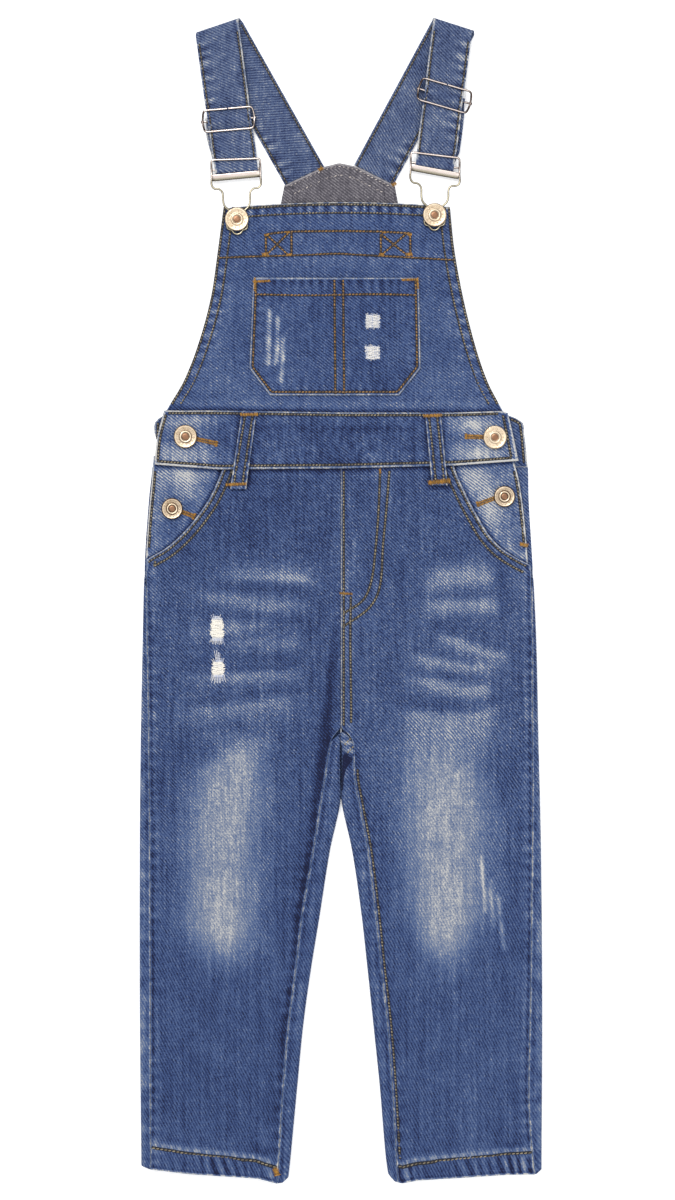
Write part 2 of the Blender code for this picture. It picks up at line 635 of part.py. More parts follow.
def strap_band(lie):
    low, fold = Vector((lie.low_x, lie.low_y)), Vector((lie.fold_x, lie.fold_y))
    along = (fold - low).normalized()
    across = Vector((along.y, -along.x))
    fold_line = Vector((math.cos(math.radians(lie.fold_slope)),
                        math.sin(math.radians(lie.fold_slope))))
    outward = Vector((-fold_line.y, fold_line.x))
    fold_radius = (FOLD_Z - STRAP / 2) / 2
    crest = fold - outward * (fold_radius + STRAP / 2)
    fold_s = (crest - low).dot(outward) / along.dot(outward)
    slider_s = (lie.slider_y - lie.low_y) / along.y
    lean = math.degrees(math.atan2(across.y, across.x))
    buckle_skew, slider_skew, fold_skew = (
        math.tan(math.radians(tilt - lean))
        for tilt in (lie.buckle_tilt, lie.slider_tilt, lie.fold_slope))
    skew_places = (*BUCKLE_SKEW, slider_s - SLIDER_SKEW, slider_s + SLIDER_SKEW, fold_s - FOLD_SKEW)
    skews = (buckle_skew, buckle_skew, slider_skew, slider_skew, fold_skew)

    def flat_row(s, z, width):
        skew = straight(skew_places, skews, s)
        row = []
        for share in STRAP_SHARES:
            t = width * share
            place = low + along * (s + skew * t) + across * t
            row.append((place.x, place.y, z))
        return row

    section = turn(slider_s, SLIDER_BAR_Z, ROUND_BAR, 95, -90, 6)
    section += [(slider_s - 6.0, UNDER_Z), (lie.lift_from, UNDER_Z)]
    low_z = BUCKLE_BAR_Z - ROUND_BAR
    section += [(4.0, low_z)] + turn(0.0, BUCKLE_BAR_Z, ROUND_BAR, 270, 90, 6)
    section += [(6.0, UPPER_Z)]
    section += [(slider_s + s, UPPER_Z + rise) for s, rise in HUMP]
    section += [(mix(slider_s + 8.0, fold_s, 0.5), FOLD_Z + 0.2), (fold_s - 5.0, FOLD_Z)]
    rows = []
    for s, z in section:
        pinch = SLIDER_PINCH * math.exp(-((s - slider_s) / SLIDER_PINCH_REACH) ** 2)
        pinch += BUCKLE_PINCH * math.exp(-(s / BUCKLE_PINCH_REACH) ** 2)
        rows.append(flat_row(s, z, lie.width_front - pinch))

    bend_length = math.pi * fold_radius
    widths = (lie.width_front, lie.width_back)

    def past_fold(s, t):
        """A point of the band s beyond the fold line, t across, bent over the fold."""
        t += lie.shift_back * min(s / bend_length, 1.0)
        place = low + along * (fold_s + fold_skew * t + s / along.dot(outward)) + across * t
        if s < bend_length:
            swing = s / fold_radius
            place -= outward * (s - fold_radius * math.sin(swing))
            return place, fold_radius * (1 + math.cos(swing)) + STRAP / 2
        return place - outward * (2 * s - bend_length), STRAP / 2

    for s in steps(0.0, bend_length, 6):
        width = mix(widths[0], widths[1], s / bend_length)
        row = []
        for share in STRAP_SHARES:
            place, z = past_fold(s, width * share)
            row.append((place.x, place.y, z))
        rows.append(row)

    edge = Vector(lie.end_2) - Vector(lie.end_1)
    edge_out = Vector((-edge.y, edge.x)).normalized()
    if edge_out.y < 0:
        edge_out.negate()
    stop = Vector(lie.end_1) + edge_out * GAP
    for share in steps(0.0, 1.0, 4)[1:]:
        row = []
        for across_share in STRAP_SHARES:
            start_place, z = past_fold(bend_length, across_share * lie.width_back)
            next_place, z = past_fold(bend_length + 1.0, across_share * lie.width_back)
            run = (next_place - start_place).normalized()
            reach = (stop - start_place).dot(edge_out) / run.dot(edge_out)
            place = start_place + run * reach * share
            row.append((place.x, place.y, z))
        rows.append(row)
    return sheet("strap_" + lie.side, rows, STRAP, STRAP_BLUE, offset=0.0)


# ---------------------------------------------------------------- wire hardware
ROSE_SILVER = (0.78, 0.72, 0.68)
Placing = namedtuple("Placing", "x y lean tilt_low tilt_high")
WirePoint = namedtuple("WirePoint", "u v z")

SLIDER_HALF = (                # right half of the slider's frame, top middle to bottom middle
    WirePoint(0.0, 7.7, 7.0),
    WirePoint(10.0, 7.7, 7.0),
    WirePoint(15.2, 7.7, 7.0),
    WirePoint(17.2, 6.9, 6.9),
    WirePoint(18.2, 3.5, 5.4),
    WirePoint(18.5, 0.0, 4.8),
    WirePoint(18.2, -3.5, 5.4),
    WirePoint(17.2, -6.9, 6.9),
    WirePoint(15.2, -7.7, 7.0),
    WirePoint(10.0, -7.7, 7.0),
    WirePoint(0.0, -7.7, 7.0),
)
BUCKLE_HALF = (                # right half of the buckle's wire, from the button's middle
    WirePoint(0.0, 43.0, 7.0),
    WirePoint(10.0, 43.0, 7.0),
    WirePoint(15.4, 43.0, 7.0),
    WirePoint(17.1, 42.4, 6.8),
    WirePoint(17.5, 40.4, 6.2),
    WirePoint(17.5, 36.2, 4.4),
    WirePoint(17.5, 31.0, 4.4),
    WirePoint(17.7, 25.2, 4.5),
    WirePoint(15.8, 22.6, 4.6),
    WirePoint(12.2, 22.0, 4.7),
    WirePoint(10.0, 19.6, 4.8),
    WirePoint(9.6, 13.0, 5.1),
    WirePoint(8.6, 9.6, 5.25),
    WirePoint(5.4, 6.2, 5.3),
    WirePoint(4.2, 3.4, 5.3),
    WirePoint(6.0, 0.2, 5.3),
    WirePoint(7.3, -3.6, 5.3),
    WirePoint(6.6, -6.6, 5.3),
    WirePoint(4.0, -7.6, 5.3),
    WirePoint(2.3, -9.7, 5.3),
    WirePoint(0.0, -10.6, 5.3),
)


KEYHOLE_TOP = 40.0              # a buckle's twist between its foot and its top grows over this


def placed(placing, u, v, z):
    """A hardware point in the world: level lines tilt more towards the top."""
    tilt = math.radians(mix(placing.tilt_low, placing.tilt_high, smooth(v / KEYHOLE_TOP)))
    x = placing.x + u + placing.lean * v
    return metres(x, placing.y + v + u * math.tan(tilt), z)


def wire_loop(name, half, placing, surface):
    """A closed loop of wire, mirrored from its right half, as one mesh."""
    path = list(half) + [WirePoint(-p.u, p.v, p.z) for p in half[-2:0:-1]]
    curve = bpy.data.curves.new(name + "_path", "CURVE")
    curve.dimensions = "3D"
    curve.bevel_depth = WIRE * MM
    curve.bevel_resolution = 2
    curve.use_fill_caps = True
    spline = curve.splines.new("POLY")
    spline.points.add(len(path) - 1)
    for point, place in zip(spline.points, path):
        point.co = (*placed(placing, *place), 1.0)
    spline.use_cyclic_u = True
    guide = bpy.data.objects.new(name + "_path", curve)
    bpy.data.collections[MODEL].objects.link(guide)
    bpy.context.view_layer.update()
    ready = guide.evaluated_get(bpy.context.evaluated_depsgraph_get())
    mesh = bpy.data.meshes.new_from_object(ready)
    bpy.data.objects.remove(guide, do_unlink=True)
    weld(mesh)
    mesh.name = name
    mesh.materials.clear()
    return new_object(name, mesh, surface)


def weld(mesh):
    shape = bmesh.new()
    shape.from_mesh(mesh)
    bmesh.ops.remove_doubles(shape, verts=shape.verts, dist=1e-6)
    bmesh.ops.recalc_face_normals(shape, faces=shape.faces)
    shape.to_mesh(mesh)
    shape.free()
    mesh.shade_smooth()


def bar(name, start_place, end_place, radius, flatten, join_to):
    """A straight rod between two places, joined to a wire loop by a Boolean union."""
    run = end_place - start_place
    shape = bmesh.new()
    bmesh.ops.create_cone(shape, cap_ends=True, segments=12, radius1=radius * MM,
                          radius2=radius * MM, depth=run.length)
    for vertex in shape.verts:
        vertex.co.x *= flatten
    mesh = bpy.data.meshes.new(name)
    shape.to_mesh(mesh)
    shape.free()
    rod = bpy.data.objects.new(name, mesh)
    bpy.data.collections[CUTTERS].objects.link(rod)
    rod.rotation_mode = "QUATERNION"
    rod.rotation_quaternion = upright(run)
    rod.location = (start_place + end_place) / 2
    rod.hide_render = True
    rod.display_type = "WIRE"
    union = join_to.modifiers.new(name, "BOOLEAN")
    union.operation = "UNION"
    union.solver = "EXACT"
    union.object = rod
    return rod


def upright(run):
    """Rotation that takes local Z along run and keeps local X near the world's Z."""
    z_axis = run.normalized()
    x_axis = (Vector((0, 0, 1)) - z_axis * z_axis.z).normalized()
    y_axis = z_axis.cross(x_axis)
    matrix = [[x_axis[r], y_axis[r], z_axis[r]] for r in range(3)]
    return Matrix(matrix).to_quaternion()


Bar = namedtuple("Bar", "name u1 u2 v z radius flatten")
SLIDER_BARS = (
    Bar("middle_bar", -18.9, 18.9, 0.0, SLIDER_BAR_Z, WIRE, 1.0),
    Bar("stud_a", -18.0, -19.7, 0.0, SLIDER_BAR_Z, 1.1, 1.0),
    Bar("stud_b", 18.0, 19.7, 0.0, SLIDER_BAR_Z, 1.1, 1.0),
)
BUCKLE_BARS = (
    Bar("strap_bar", -17.4, 17.4, 36.2, BUCKLE_BAR_Z, WIRE, 1.0),
    Bar("flat_bar", -17.0, 17.0, 31.0, 4.5, 1.5, 0.6),
)
HARDWARE = (
    ("slider_left", SLIDER_HALF, SLIDER_BARS, Placing(-80.8, 345.3, -0.07, 5.0, 5.0)),
    ("slider_right", SLIDER_HALF, SLIDER_BARS, Placing(74.3, 362.3, 0.26, -16.2, -16.2)),
    ("buckle_left", BUCKLE_HALF, BUCKLE_BARS, Placing(-74.7, 273.6, -0.022, 0.0, 2.0)),
    ("buckle_right", BUCKLE_HALF, BUCKLE_BARS, Placing(67.2, 276.6, 0.012, 0.0, -7.0)),
)


def wire_piece(name, half, bars, placing):
    """A slider or a buckle: a bent wire frame with bars across it."""
    frame = wire_loop(name, half, placing, material(name, ROSE_SILVER, 0.25, 1.0))
    for b in bars:
        start_place = placed(placing, b.u1, b.v, b.z)
        end_place = placed(placing, b.u2, b.v, b.z)
        bar(name + "_" + b.name, start_place, end_place, b.radius, b.flatten, frame)
    return frame


# ---------------------------------------------------------------- buttons
BUTTON_FACE = (                # (radius, height over the head's underside), middle outwards
    (0.0, 1.8), (2.4, 1.8), (3.2, 1.4), (4.0, 2.0), (5.0, 1.6), (7.4, 1.9), (8.5, 1.1),
    (7.8, 0.0), (2.6, 0.0),
)
SHANK = 2.6                    # radius of the shank
HEAD_LIFT = 0.3                # clear of the cloth below the head
BRASS = (0.62, 0.45, 0.28)
ButtonPlace = namedtuple("ButtonPlace", "name x y size lift")
BUTTONS = (
    ButtonPlace("bib_left", -74.7, 273.6, 1.0, 2.1),
    ButtonPlace("bib_right", 67.2, 276.6, 1.0, 2.1),
    ButtonPlace("waist_left", -111.6, 117.5, 0.99, 0.4),
    ButtonPlace("waist_right", 110.4, 117.0, 0.99, 0.4),
    ButtonPlace("side_left", -121.3, 65.9, 0.9, 0.4),
    ButtonPlace("side_right", 117.4, 74.7, 0.9, 0.4),
)


def cloth_under(place):
    """Highest cloth below a button's head."""
    heights = []
    for angle in steps(0.0, 2 * math.pi, 12):
        for radius in (0.0, 5.0, BUTTON_FACE[6][0]):
            x = place.x + radius * math.cos(angle)
            y = place.y + radius * math.sin(angle)
            if place.name.startswith("bib"):
                heights.append(bib_height(x, y))
            elif place.name.startswith("waist"):
                heights.append(band_height(x, y))
            else:
                heights.append(top_height(x, y) - DENIM - GAP - FACING_DROP)
    return max(heights)


def button(place):
    """Shank button: a turned head over a short shank."""
    name = "button_" + place.name
    cloth = cloth_under(place)
    head = cloth + HEAD_LIFT + place.lift
    profile = [(r * place.size, h) for r, h in BUTTON_FACE]
    profile += [(SHANK * place.size, -place.lift), (0.0, -place.lift)]
    mesh = bpy.data.meshes.new(name)
    points = [metres(r, 0.0, h) for r, h in profile]
    mesh.from_pydata(points, [(k, k + 1) for k in range(len(points) - 1)], [])
    item = new_object(name, mesh, material(name, BRASS, 0.35, 1.0))
    item.location = metres(place.x, place.y, head)
    screw = item.modifiers.new("turned", "SCREW")
    screw.steps = 16
    screw.render_steps = 16
    screw.use_merge_vertices = True
    screw.merge_threshold = 0.00001
    screw.use_smooth_shade = True
    return item


# ---------------------------------------------------------------- the whole garment
def build():
    start()
    for side in ("left", "right"):
        back_leg(side)
        pocket_facing(side)
        front_leg(side)
    back_waistband()
    back_bib()
    front_bib()
    bib_pocket()
    front_waistband()
    for loop in LOOPS:
        belt_loop(loop)
    for lie in STRAPS:
        strap_band(lie)
    for name, half, bars, placing in HARDWARE:
        wire_piece(name, half, bars, placing)
    for place in BUTTONS:
        button(place)


build()
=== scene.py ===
"""Looks of the kids' denim dungarees: cloth, sewing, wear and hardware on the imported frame.

Sizes are millimetres, as in the part's source; metres() turns them into Blender units.
Left and right are as seen from above, +Y towards the shoulders.
"""

import json
import math
from collections import namedtuple

import bmesh
import bpy
import numpy as np
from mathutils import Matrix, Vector
from mathutils.bvhtree import BVHTree

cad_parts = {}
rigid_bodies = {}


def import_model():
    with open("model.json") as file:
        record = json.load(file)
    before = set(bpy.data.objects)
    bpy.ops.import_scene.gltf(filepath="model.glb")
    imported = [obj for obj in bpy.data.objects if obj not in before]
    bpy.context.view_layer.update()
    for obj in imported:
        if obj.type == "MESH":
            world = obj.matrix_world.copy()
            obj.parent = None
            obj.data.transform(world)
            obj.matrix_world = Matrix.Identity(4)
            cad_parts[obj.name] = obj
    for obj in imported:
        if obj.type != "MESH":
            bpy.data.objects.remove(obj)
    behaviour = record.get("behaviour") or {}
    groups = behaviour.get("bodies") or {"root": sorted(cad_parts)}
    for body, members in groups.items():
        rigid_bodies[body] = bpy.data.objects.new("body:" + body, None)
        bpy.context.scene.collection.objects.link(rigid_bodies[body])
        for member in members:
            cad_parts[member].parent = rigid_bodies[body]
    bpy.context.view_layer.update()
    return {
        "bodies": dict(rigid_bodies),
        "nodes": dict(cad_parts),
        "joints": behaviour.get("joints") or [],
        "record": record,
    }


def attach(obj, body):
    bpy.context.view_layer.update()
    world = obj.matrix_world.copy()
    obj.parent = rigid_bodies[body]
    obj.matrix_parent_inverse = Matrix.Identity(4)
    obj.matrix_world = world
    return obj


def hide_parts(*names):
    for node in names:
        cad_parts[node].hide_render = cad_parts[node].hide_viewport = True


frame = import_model()

MM = 0.001
SIGN = {"left": -1, "right": 1}


def table(columns, text):
    """Rows of numbers under named columns; a new line or a comma ends a row."""
    row = namedtuple("row", columns)
    return [row(*map(float, line.split())) for line in text.strip().replace(",", "\n").splitlines()]


# ---------------------------------------------------------------- driving sizes, as in the part
DENIM = 1.2
BAND = 1.6
STRAP = 1.5
WIRE = 0.75
GAP = 0.42
SEAM_GAP = 0.95
CENTRE_GAP = 0.06                # from the middle to each leg's centre edge
FACING_DROP = 0.2
HEM_RISE = 0.5
BIB_HEM = 7.0
LEG_HEM = 13.0
ROLL = 3.0
FLAT_SIDE = 12.0
EDGE_SWELL = 0.5
SWELL_REACH = 14.0
CROTCH_Y = -91.8
SIDE_SLIT_Y = 22.0
SLIT_CLOSE = 14.0
CROTCH_CLOSE = 9.0
CROTCH_ROUND = 32.0
HEM_LEVEL = -414.0
HEM_FOLLOW = 80.0

EDGES = "y left right"
WEAR = "x1 y1 x2 y2 width amount"
FADE = "y x left right amount"
THREADS = "x y half_x half_y pitch fray"
BODY = table(EDGES, """
    136 -134.6 129.5
    118 -134.7 132
    99 -135.4 134.4
    72.4 -138.2 135
    29.2 -141.1 137.6
    -28.4 -142.6 140.4
    -100.4 -144 142
    -179.6 -144.7 143.8
    -287.6 -144.7 144.7
    -406.4 -143.6 144.2""")
INSIDE_LEG = table("y left left_seam right right_seam", """
    -91.8 -0.4 -0.3 0.4 0.3
    -96 -0.4 -4.2 0.4 5.2
    -102 -0.4 -7.4 0.4 8.4
    -127.8 -0.4 -11.6 0.4 9.9
    -145.1 -0.5 -14.5 0.5 13
    -179.6 -7.9 -19.9 7.9 19.4
    -225 -15.1 -27.8 14.6 25
    -265.3 -21.6 -32.6 19.1 29.2
    -304.2 -27 -37.6 23.2 33.6
    -348.8 -31.4 -41.6 27.8 37
    -400 -36.2 -45 32 40
    -418 -38.2 -46.2 34.4 41.4""")
SCOOP = table(EDGES, """
    99.5 -84 80.6
    92.7 -85.9 82.4
    74.5 -94 90.7
    60.1 -103.7 98.4
    47 -115 106.4
    37 -126.6 116
    29.2 -139.6 128.5
    25.5 -139.6 136.2""")
OUTSEAM = table(EDGES, """
    29.2 -140 136.4
    -28.4 -139 137.4
    -72 -138.2 137.5
    -150 -137.4 137.6
    -280 -136.9 136.2
    -365 -136.8 135
    -420 -136.4 139.4""")
FACING_EDGE = table(EDGES, """
    104 -134.8 123
    86.8 -136 127.8
    58 -138.6 131.8
    25 -140.6 134.6""")
BIB = table(EDGES, """
    286 -84.2 78.2
    252.4 -88.6 81.6
    217.8 -93.6 87.8
    183.2 -103 96.5
    157.3 -113.2 105.3
    140 -123.4 114.2
    131.4 -128.6 118.9""")
POCKET = table(EDGES, """
    231.8 -63.1 56
    166.8 -65.8 57.2
    147.2 -51.1 41.6""")
BACK_BIB = table(EDGES, """
    300 -40.7 38.7
    286.2 -43.2 41
    245 -47.5 45.5
    194.8 -63 60
    158.8 -83.5 79
    133.9 -107 101""")
BACK_BIB_TOP = table("x y", """
    -40.7 298.8, -13 311.8, -1.4 314.8, 12 312.1, 38.7 298.7""")
BACK_BAND = table(EDGES, """
    133.5 -127 119.5
    129 -133.4 130
    119 -133.9 131.8
    112 -130.4 132.8
    96.4 -129.6 134.2""")
BAND_ENDS = table(EDGES, """
    136.4 -127 119.8
    117 -131.9 123.9
    97.6 -133.9 127.4""")
BAND_TOP = table("x y", """
    -130 136.4, -85.7 136.4, 0 135, 82 135, 114.5 136.1, 128 132.5""")
BAND_BOTTOM = table("x y", "-135 97.6, -87 94, 0 94.7, 82 96.8, 128 100.2")
HEMS = {
    "left": table("x y", """
        -143.6 -406, -137 -408.6, -109.7 -412, -60 -415.2, -46.3 -418.7, -42 -418.2
        -37.5 -414"""),
    "right": table("x y", """
        34 -412, 38.5 -417.2, 43.9 -418.6, 55.4 -416.5, 87.1 -414.6, 118.8 -412.5, 140 -412
        144.4 -408.4"""),
}
LEVELS = table("y height", """
    300 3.5, 220 3.7, 150 4.4, 100 5.1, 0 5, -120 4.7, -300 4.5, -420 4.8""")
CREASES = table("x1 y1 x2 y2 width height", """
    -88 17.3 -17 13 6 0.55
    -112 4.3 -19.5 -6 6 0.6
    -113 -24 -51 -16 5.5 0.5
    -81 -31 -25.5 -31 5.5 0.5
    -112 -57 -29.5 -53 6 0.5
    -115 -83 -29.5 -72 6.5 0.55
    -100 -43 -30 -42 5 -0.35
    56 12 112 17.5 7 0.55
    57 -4.5 115.5 -4 6 0.6
    66 -26.5 122 -42.5 5.5 0.5
    47 -41 112 -49 5 0.5
    46 -58 112 -65 6 0.5
    37 -83 118 -81 6.5 0.55
    45 -52.5 105 -55.5 4 -0.3
    -9 0 -11 -112 4.5 -0.6
    10 -30 24 -185 9 0.45
    -30 -88 -60 -150 9 0.45
    -76 -103 -88 -257 13 0.55
    73 -112 75 -257 12 0.5
    -118 -120 -124 -330 10 -0.35
    112 -130 116 -340 10 -0.35
    -60 -275 -96 -385 12 0.4
    58 -270 100 -390 12 0.4
    -118 -300 -70 -330 9 -0.3
    66 -340 118 -318 9 -0.3
    -70 243 62 245 6 0.3
    -95 150 -40 141 7 0.4
    20 141 90 152 7 0.4
    -80 225 -98 160 8 0.35
    76 225 92 165 8 0.35
    -70 112 60 116 9 0.3""")


# ---------------------------------------------------------------- curves and tables
def smooth(t):
    t = np.clip(t, 0.0, 1.0)
    return t * t * (3.0 - 2.0 * t)


def mix(a, b, t):
    return a + (b - a) * t


def bell(distance, width):
    return np.exp(-(distance / width) ** 2)


def curve(places, values, at):
    """The part's smooth curve through a table, for whole arrays."""
    places, values = np.asarray(places, float), np.asarray(values, float)
    low = np.maximum(np.arange(len(places)) - 1, 0)
    high = np.minimum(np.arange(len(places)) + 1, len(places) - 1)
    slopes = (values[high] - values[low]) / (places[high] - places[low])
    i = np.clip(np.searchsorted(places, at, "right") - 1, 0, len(places) - 2)
    step = places[i + 1] - places[i]
    t = np.clip((at - places[i]) / step, 0.0, 1.0)
    rise = values[i + 1] - values[i]
    pull = slopes[i] * step * t * (1 - t) ** 2 - slopes[i + 1] * step * t * t * (1 - t)
    return values[i] + rise * t * t * (3 - 2 * t) + pull


def down(rows, column, y):
    """A table's column as a smooth function of y."""
    ordered = rows[::-1]
    return curve([r.y for r in ordered], [getattr(r, column) for r in ordered], y)


def straight_down(rows, column, y):
    ordered = rows[::-1]
    return np.interp(y, [r.y for r in ordered], [getattr(r, column) for r in ordered])


def side_to_side(rows, x):
    return np.interp(x, [r.x for r in rows], [r.y for r in rows])


def lattice(ix, iy, seed):
    """A fixed random number from 0 to 1 for each whole-numbered place."""
    value = np.sin(ix * 127.1 + iy * 311.7 + seed * 74.7) * 43758.5453
    return value - np.floor(value)


def chance(k, seed, draw):
    return float(lattice(k, seed, draw))


def noise(x, y, cell_x, cell_y, seed):
    """Smooth noise from -1 to 1, its cells cell_x by cell_y mm."""
    u, v = np.asarray(x) / cell_x, np.asarray(y) / cell_y
    iu, iv = np.floor(u), np.floor(v)
    fu, fv = smooth(u - iu), smooth(v - iv)
    near = mix(lattice(iu, iv, seed), lattice(iu + 1, iv, seed), fu)
    far = mix(lattice(iu, iv + 1, seed), lattice(iu + 1, iv + 1, seed), fu)
    return 2 * mix(near, far, fv) - 1


def along_line(x, y, x1, y1, x2, y2):
    """Share along a line, 0 to 1, and distance from it."""
    run_x, run_y = x2 - x1, y2 - y1
    t = ((x - x1) * run_x + (y - y1) * run_y) / (run_x ** 2 + run_y ** 2)
    t = np.clip(t, 0.0, 1.0)
    return t, np.hypot(x - x1 - run_x * t, y - y1 - run_y * t)


def lengths_to(path):
    """Length along a flat path up to each of its points."""
    return np.concatenate([[0.0], np.cumsum(np.hypot(*np.diff(path, axis=0).T))])


def to_path(x, y, path):
    """Distance to a line through points, and the length along it there."""
    best = np.full(np.shape(x), 1e9)
    at = np.zeros(np.shape(x))
    done = 0.0
    for (x1, y1), (x2, y2) in zip(path, path[1:]):
        t, away = along_line(x, y, x1, y1, x2, y2)
        length = math.hypot(x2 - x1, y2 - y1)
        at = np.where(away < best, done + t * length, at)
        best = np.minimum(best, away)
        done += length
    return best, at


# ---------------------------------------------------------------- the cloth's height
def crease_height(x, y):
    total = np.zeros(np.broadcast(x, y).shape)
    for c in CREASES:
        t, away = along_line(x, y, c.x1, c.y1, c.x2, c.y2)
        total = total + c.height * bell(away, c.width)
    return total


def ripple(x, y):
    """Small uneven waves of worn cloth."""
    wave = 0.16 * noise(x + 0.4 * y, y, 34.0, 15.0, 1) + 0.11 * noise(x - 0.5 * y, y, 15.0, 26.0, 2)
    return wave + 0.05 * noise(x, y, 6.0, 8.0, 3)


def level(x, y):
    return down(LEVELS, "height", y) + crease_height(x, y) + ripple(x, y)


def inner_roll(y):
    return ROLL * smooth((CROTCH_Y - y) / CROTCH_ROUND)


def leg_folds(x, y):
    """Distances to the side folds, and each fold's half width."""
    folds = [(np.abs(x - down(BODY, "left", y)), ROLL), (np.abs(x - down(BODY, "right", y)), ROLL)]
    inside = np.where(x < 0, down(INSIDE_LEG, "left", y), down(INSIDE_LEG, "right", y))
    folds.append((np.where(y < CROTCH_Y, np.abs(x - inside), 1e3), np.maximum(inner_roll(y), 1e-6)))
    return folds


def top_height(x, y):
    height = level(x, y)
    folds = leg_folds(x, y)
    for distance, roll in folds:
        height = height + EDGE_SWELL * (roll / ROLL) * bell(distance, SWELL_REACH)
    for distance, roll in folds:
        share = np.clip(1 - distance / roll, 0.0, 1.0)
        curved = 0.5 + 0.5 * np.sqrt(1 - share ** 2)
        height = np.where(distance < roll, height * curved, height)
    return height


def hem_rise(depth, width):
    return HEM_RISE * smooth((width - depth) / 1.5 + 0.5)


def bib_top(x):
    return 286.3 - 0.00058 * (x - 2.0) ** 2


def bib_height(x, y):
    side = np.minimum(x - down(BIB, "left", y), down(BIB, "right", y) - x)
    top = bib_top(x) - y
    height = level(x, y) - 0.7 * bell(side, 12.0)
    above_waist = smooth((y - 139.0) / 4.0)
    rise = np.maximum(hem_rise(side, BIB_HEM), hem_rise(top, BIB_HEM))
    return height + above_waist * rise


def band_height(x, y):
    return top_height(x, y) + GAP + BAND


def pocket_height(x, y):
    return bib_height(x, y) + GAP + DENIM


def facing_height(x, y):
    return top_height(x, y) - DENIM - GAP - FACING_DROP


# ---------------------------------------------------------------- materials
def linear(red, green, blue):
    """An sRGB colour, 0 to 255, as Blender's linear RGBA."""
    parts = []
    for value in (red, green, blue):
        share = value / 255
        parts.append(share / 12.92 if share <= 0.04045 else ((share + 0.055) / 1.055) ** 2.4)
    return (*parts, 1.0)


class Nodes:
    """Builds one material's node tree."""

    def __init__(self, name):
        self.material = bpy.data.materials.new(name)
        self.material.use_nodes = True
        self.tree = self.material.node_tree
        self.shader = self.tree.nodes["Principled BSDF"]
        self.place = self.tree.nodes.new("ShaderNodeTexCoord").outputs["Object"]

    def link(self, value, socket):
        if isinstance(value, bpy.types.NodeSocket):
            self.tree.links.new(value, socket)
        else:
            socket.default_value = value

    def math(self, operation, *values, clamp=False):
        node = self.tree.nodes.new("ShaderNodeMath")
        node.operation = operation
        node.use_clamp = clamp
        for value, socket in zip(values, node.inputs):
            self.link(value, socket)
        return node.outputs[0]

    def add(self, *values):
        total = values[0]
        for value in values[1:]:
            total = self.math("ADD", total, value)
        return total

    def times(self, a, b):
        return self.math("MULTIPLY", a, b)

    def span(self, value, low, high, to_low=0.0, to_high=1.0):
        node = self.tree.nodes.new("ShaderNodeMapRange")
        node.interpolation_type = "SMOOTHSTEP"
        for given, socket in zip((value, low, high, to_low, to_high), node.inputs):
            self.link(given, socket)
        return node.outputs[0]

    def attribute(self, name):
        node = self.tree.nodes.new("ShaderNodeAttribute")
        node.attribute_name = name
        return node.outputs["Fac"]

    def mapped(self, scale, turn=0.0):
        """Object coordinates turned about Z, then scaled."""
        turned = self.tree.nodes.new("ShaderNodeVectorRotate")
        turned.rotation_type = "Z_AXIS"
        turned.inputs["Angle"].default_value = turn
        self.link(self.place, turned.inputs["Vector"])
        node = self.tree.nodes.new("ShaderNodeVectorMath")
        node.operation = "MULTIPLY"
        node.inputs[1].default_value = scale
        self.link(turned.outputs[0], node.inputs[0])
        return node.outputs[0]

    def noise(self, scale, turn=0.0, detail=2.0, rough=0.5):
        """Noise centred on 0; its scale is per metre, for all axes or for each."""
        scale = np.broadcast_to(scale, 3).tolist()
        node = self.tree.nodes.new("ShaderNodeTexNoise")
        node.inputs["Scale"].default_value = 1.0
        node.inputs["Detail"].default_value = detail
        node.inputs["Roughness"].default_value = rough
        self.link(self.mapped(scale, turn), node.inputs["Vector"])
        return self.math("MULTIPLY_ADD", node.outputs["Fac"], 2.0, -1.0)

    def ramp(self, value, stops):
        node = self.tree.nodes.new("ShaderNodeValToRGB")
        elements = node.color_ramp.elements
        while len(elements) < len(stops):
            elements.new(0.5)
        for element, (position, colour) in zip(elements, stops):
            element.position = position
            element.color = colour
        self.link(value, node.inputs["Fac"])
        return node.outputs["Color"]

    def blend(self, share, a, b):
        node = self.tree.nodes.new("ShaderNodeMix")
        node.data_type = "RGBA"
        node.clamp_factor = True
        self.link(share, node.inputs["Factor"])
        self.link(a, node.inputs["A"])
        self.link(b, node.inputs["B"])
        return node.outputs["Result"]

    def bump(self, height, distance, strength=1.0):
        node = self.tree.nodes.new("ShaderNodeBump")
        node.inputs["Distance"].default_value = distance
        node.inputs["Strength"].default_value = strength
        self.link(height, node.inputs["Height"])
        self.tree.links.new(node.outputs["Normal"], self.shader.inputs["Normal"])

    def set(self, **values):
        for name, value in values.items():
            self.link(value, self.shader.inputs[name.replace("_", " ")])


STUDIO_SHARE = 0.62              # own colour over the colour seen under the studio lights


def dyed(red, green, blue):
    """A cloth's own colour, from how it looks under the studio lights."""
    return (*(STUDIO_SHARE * part for part in linear(red, green, blue)[:3]), 1.0)


INDIGO = (                       # from deep dye to bare cotton
    (0.00, dyed(18, 26, 64)),
    (0.18, dyed(40, 58, 106)),
    (0.34, dyed(62, 84, 134)),
    (0.50, dyed(82, 105, 153)),
    (0.66, dyed(109, 128, 167)),
    (0.80, dyed(148, 158, 180)),
    (0.91, dyed(190, 193, 200)),
    (1.00, dyed(230, 227, 222)),
)
WALE = 1.8                       # pitch of the twill's diagonal wales


def dulled(stops, share):
    """The same dye scale with part of its colour washed out."""
    dull_and_shade = []
    for at, colour in stops:
        grey = 0.3 * colour[0] + 0.5 * colour[1] + 0.2 * colour[2]
        dull_and_shade.append((at, (*(mix(part, grey, share) for part in colour[:3]), 1.0)))
    return dull_and_shade


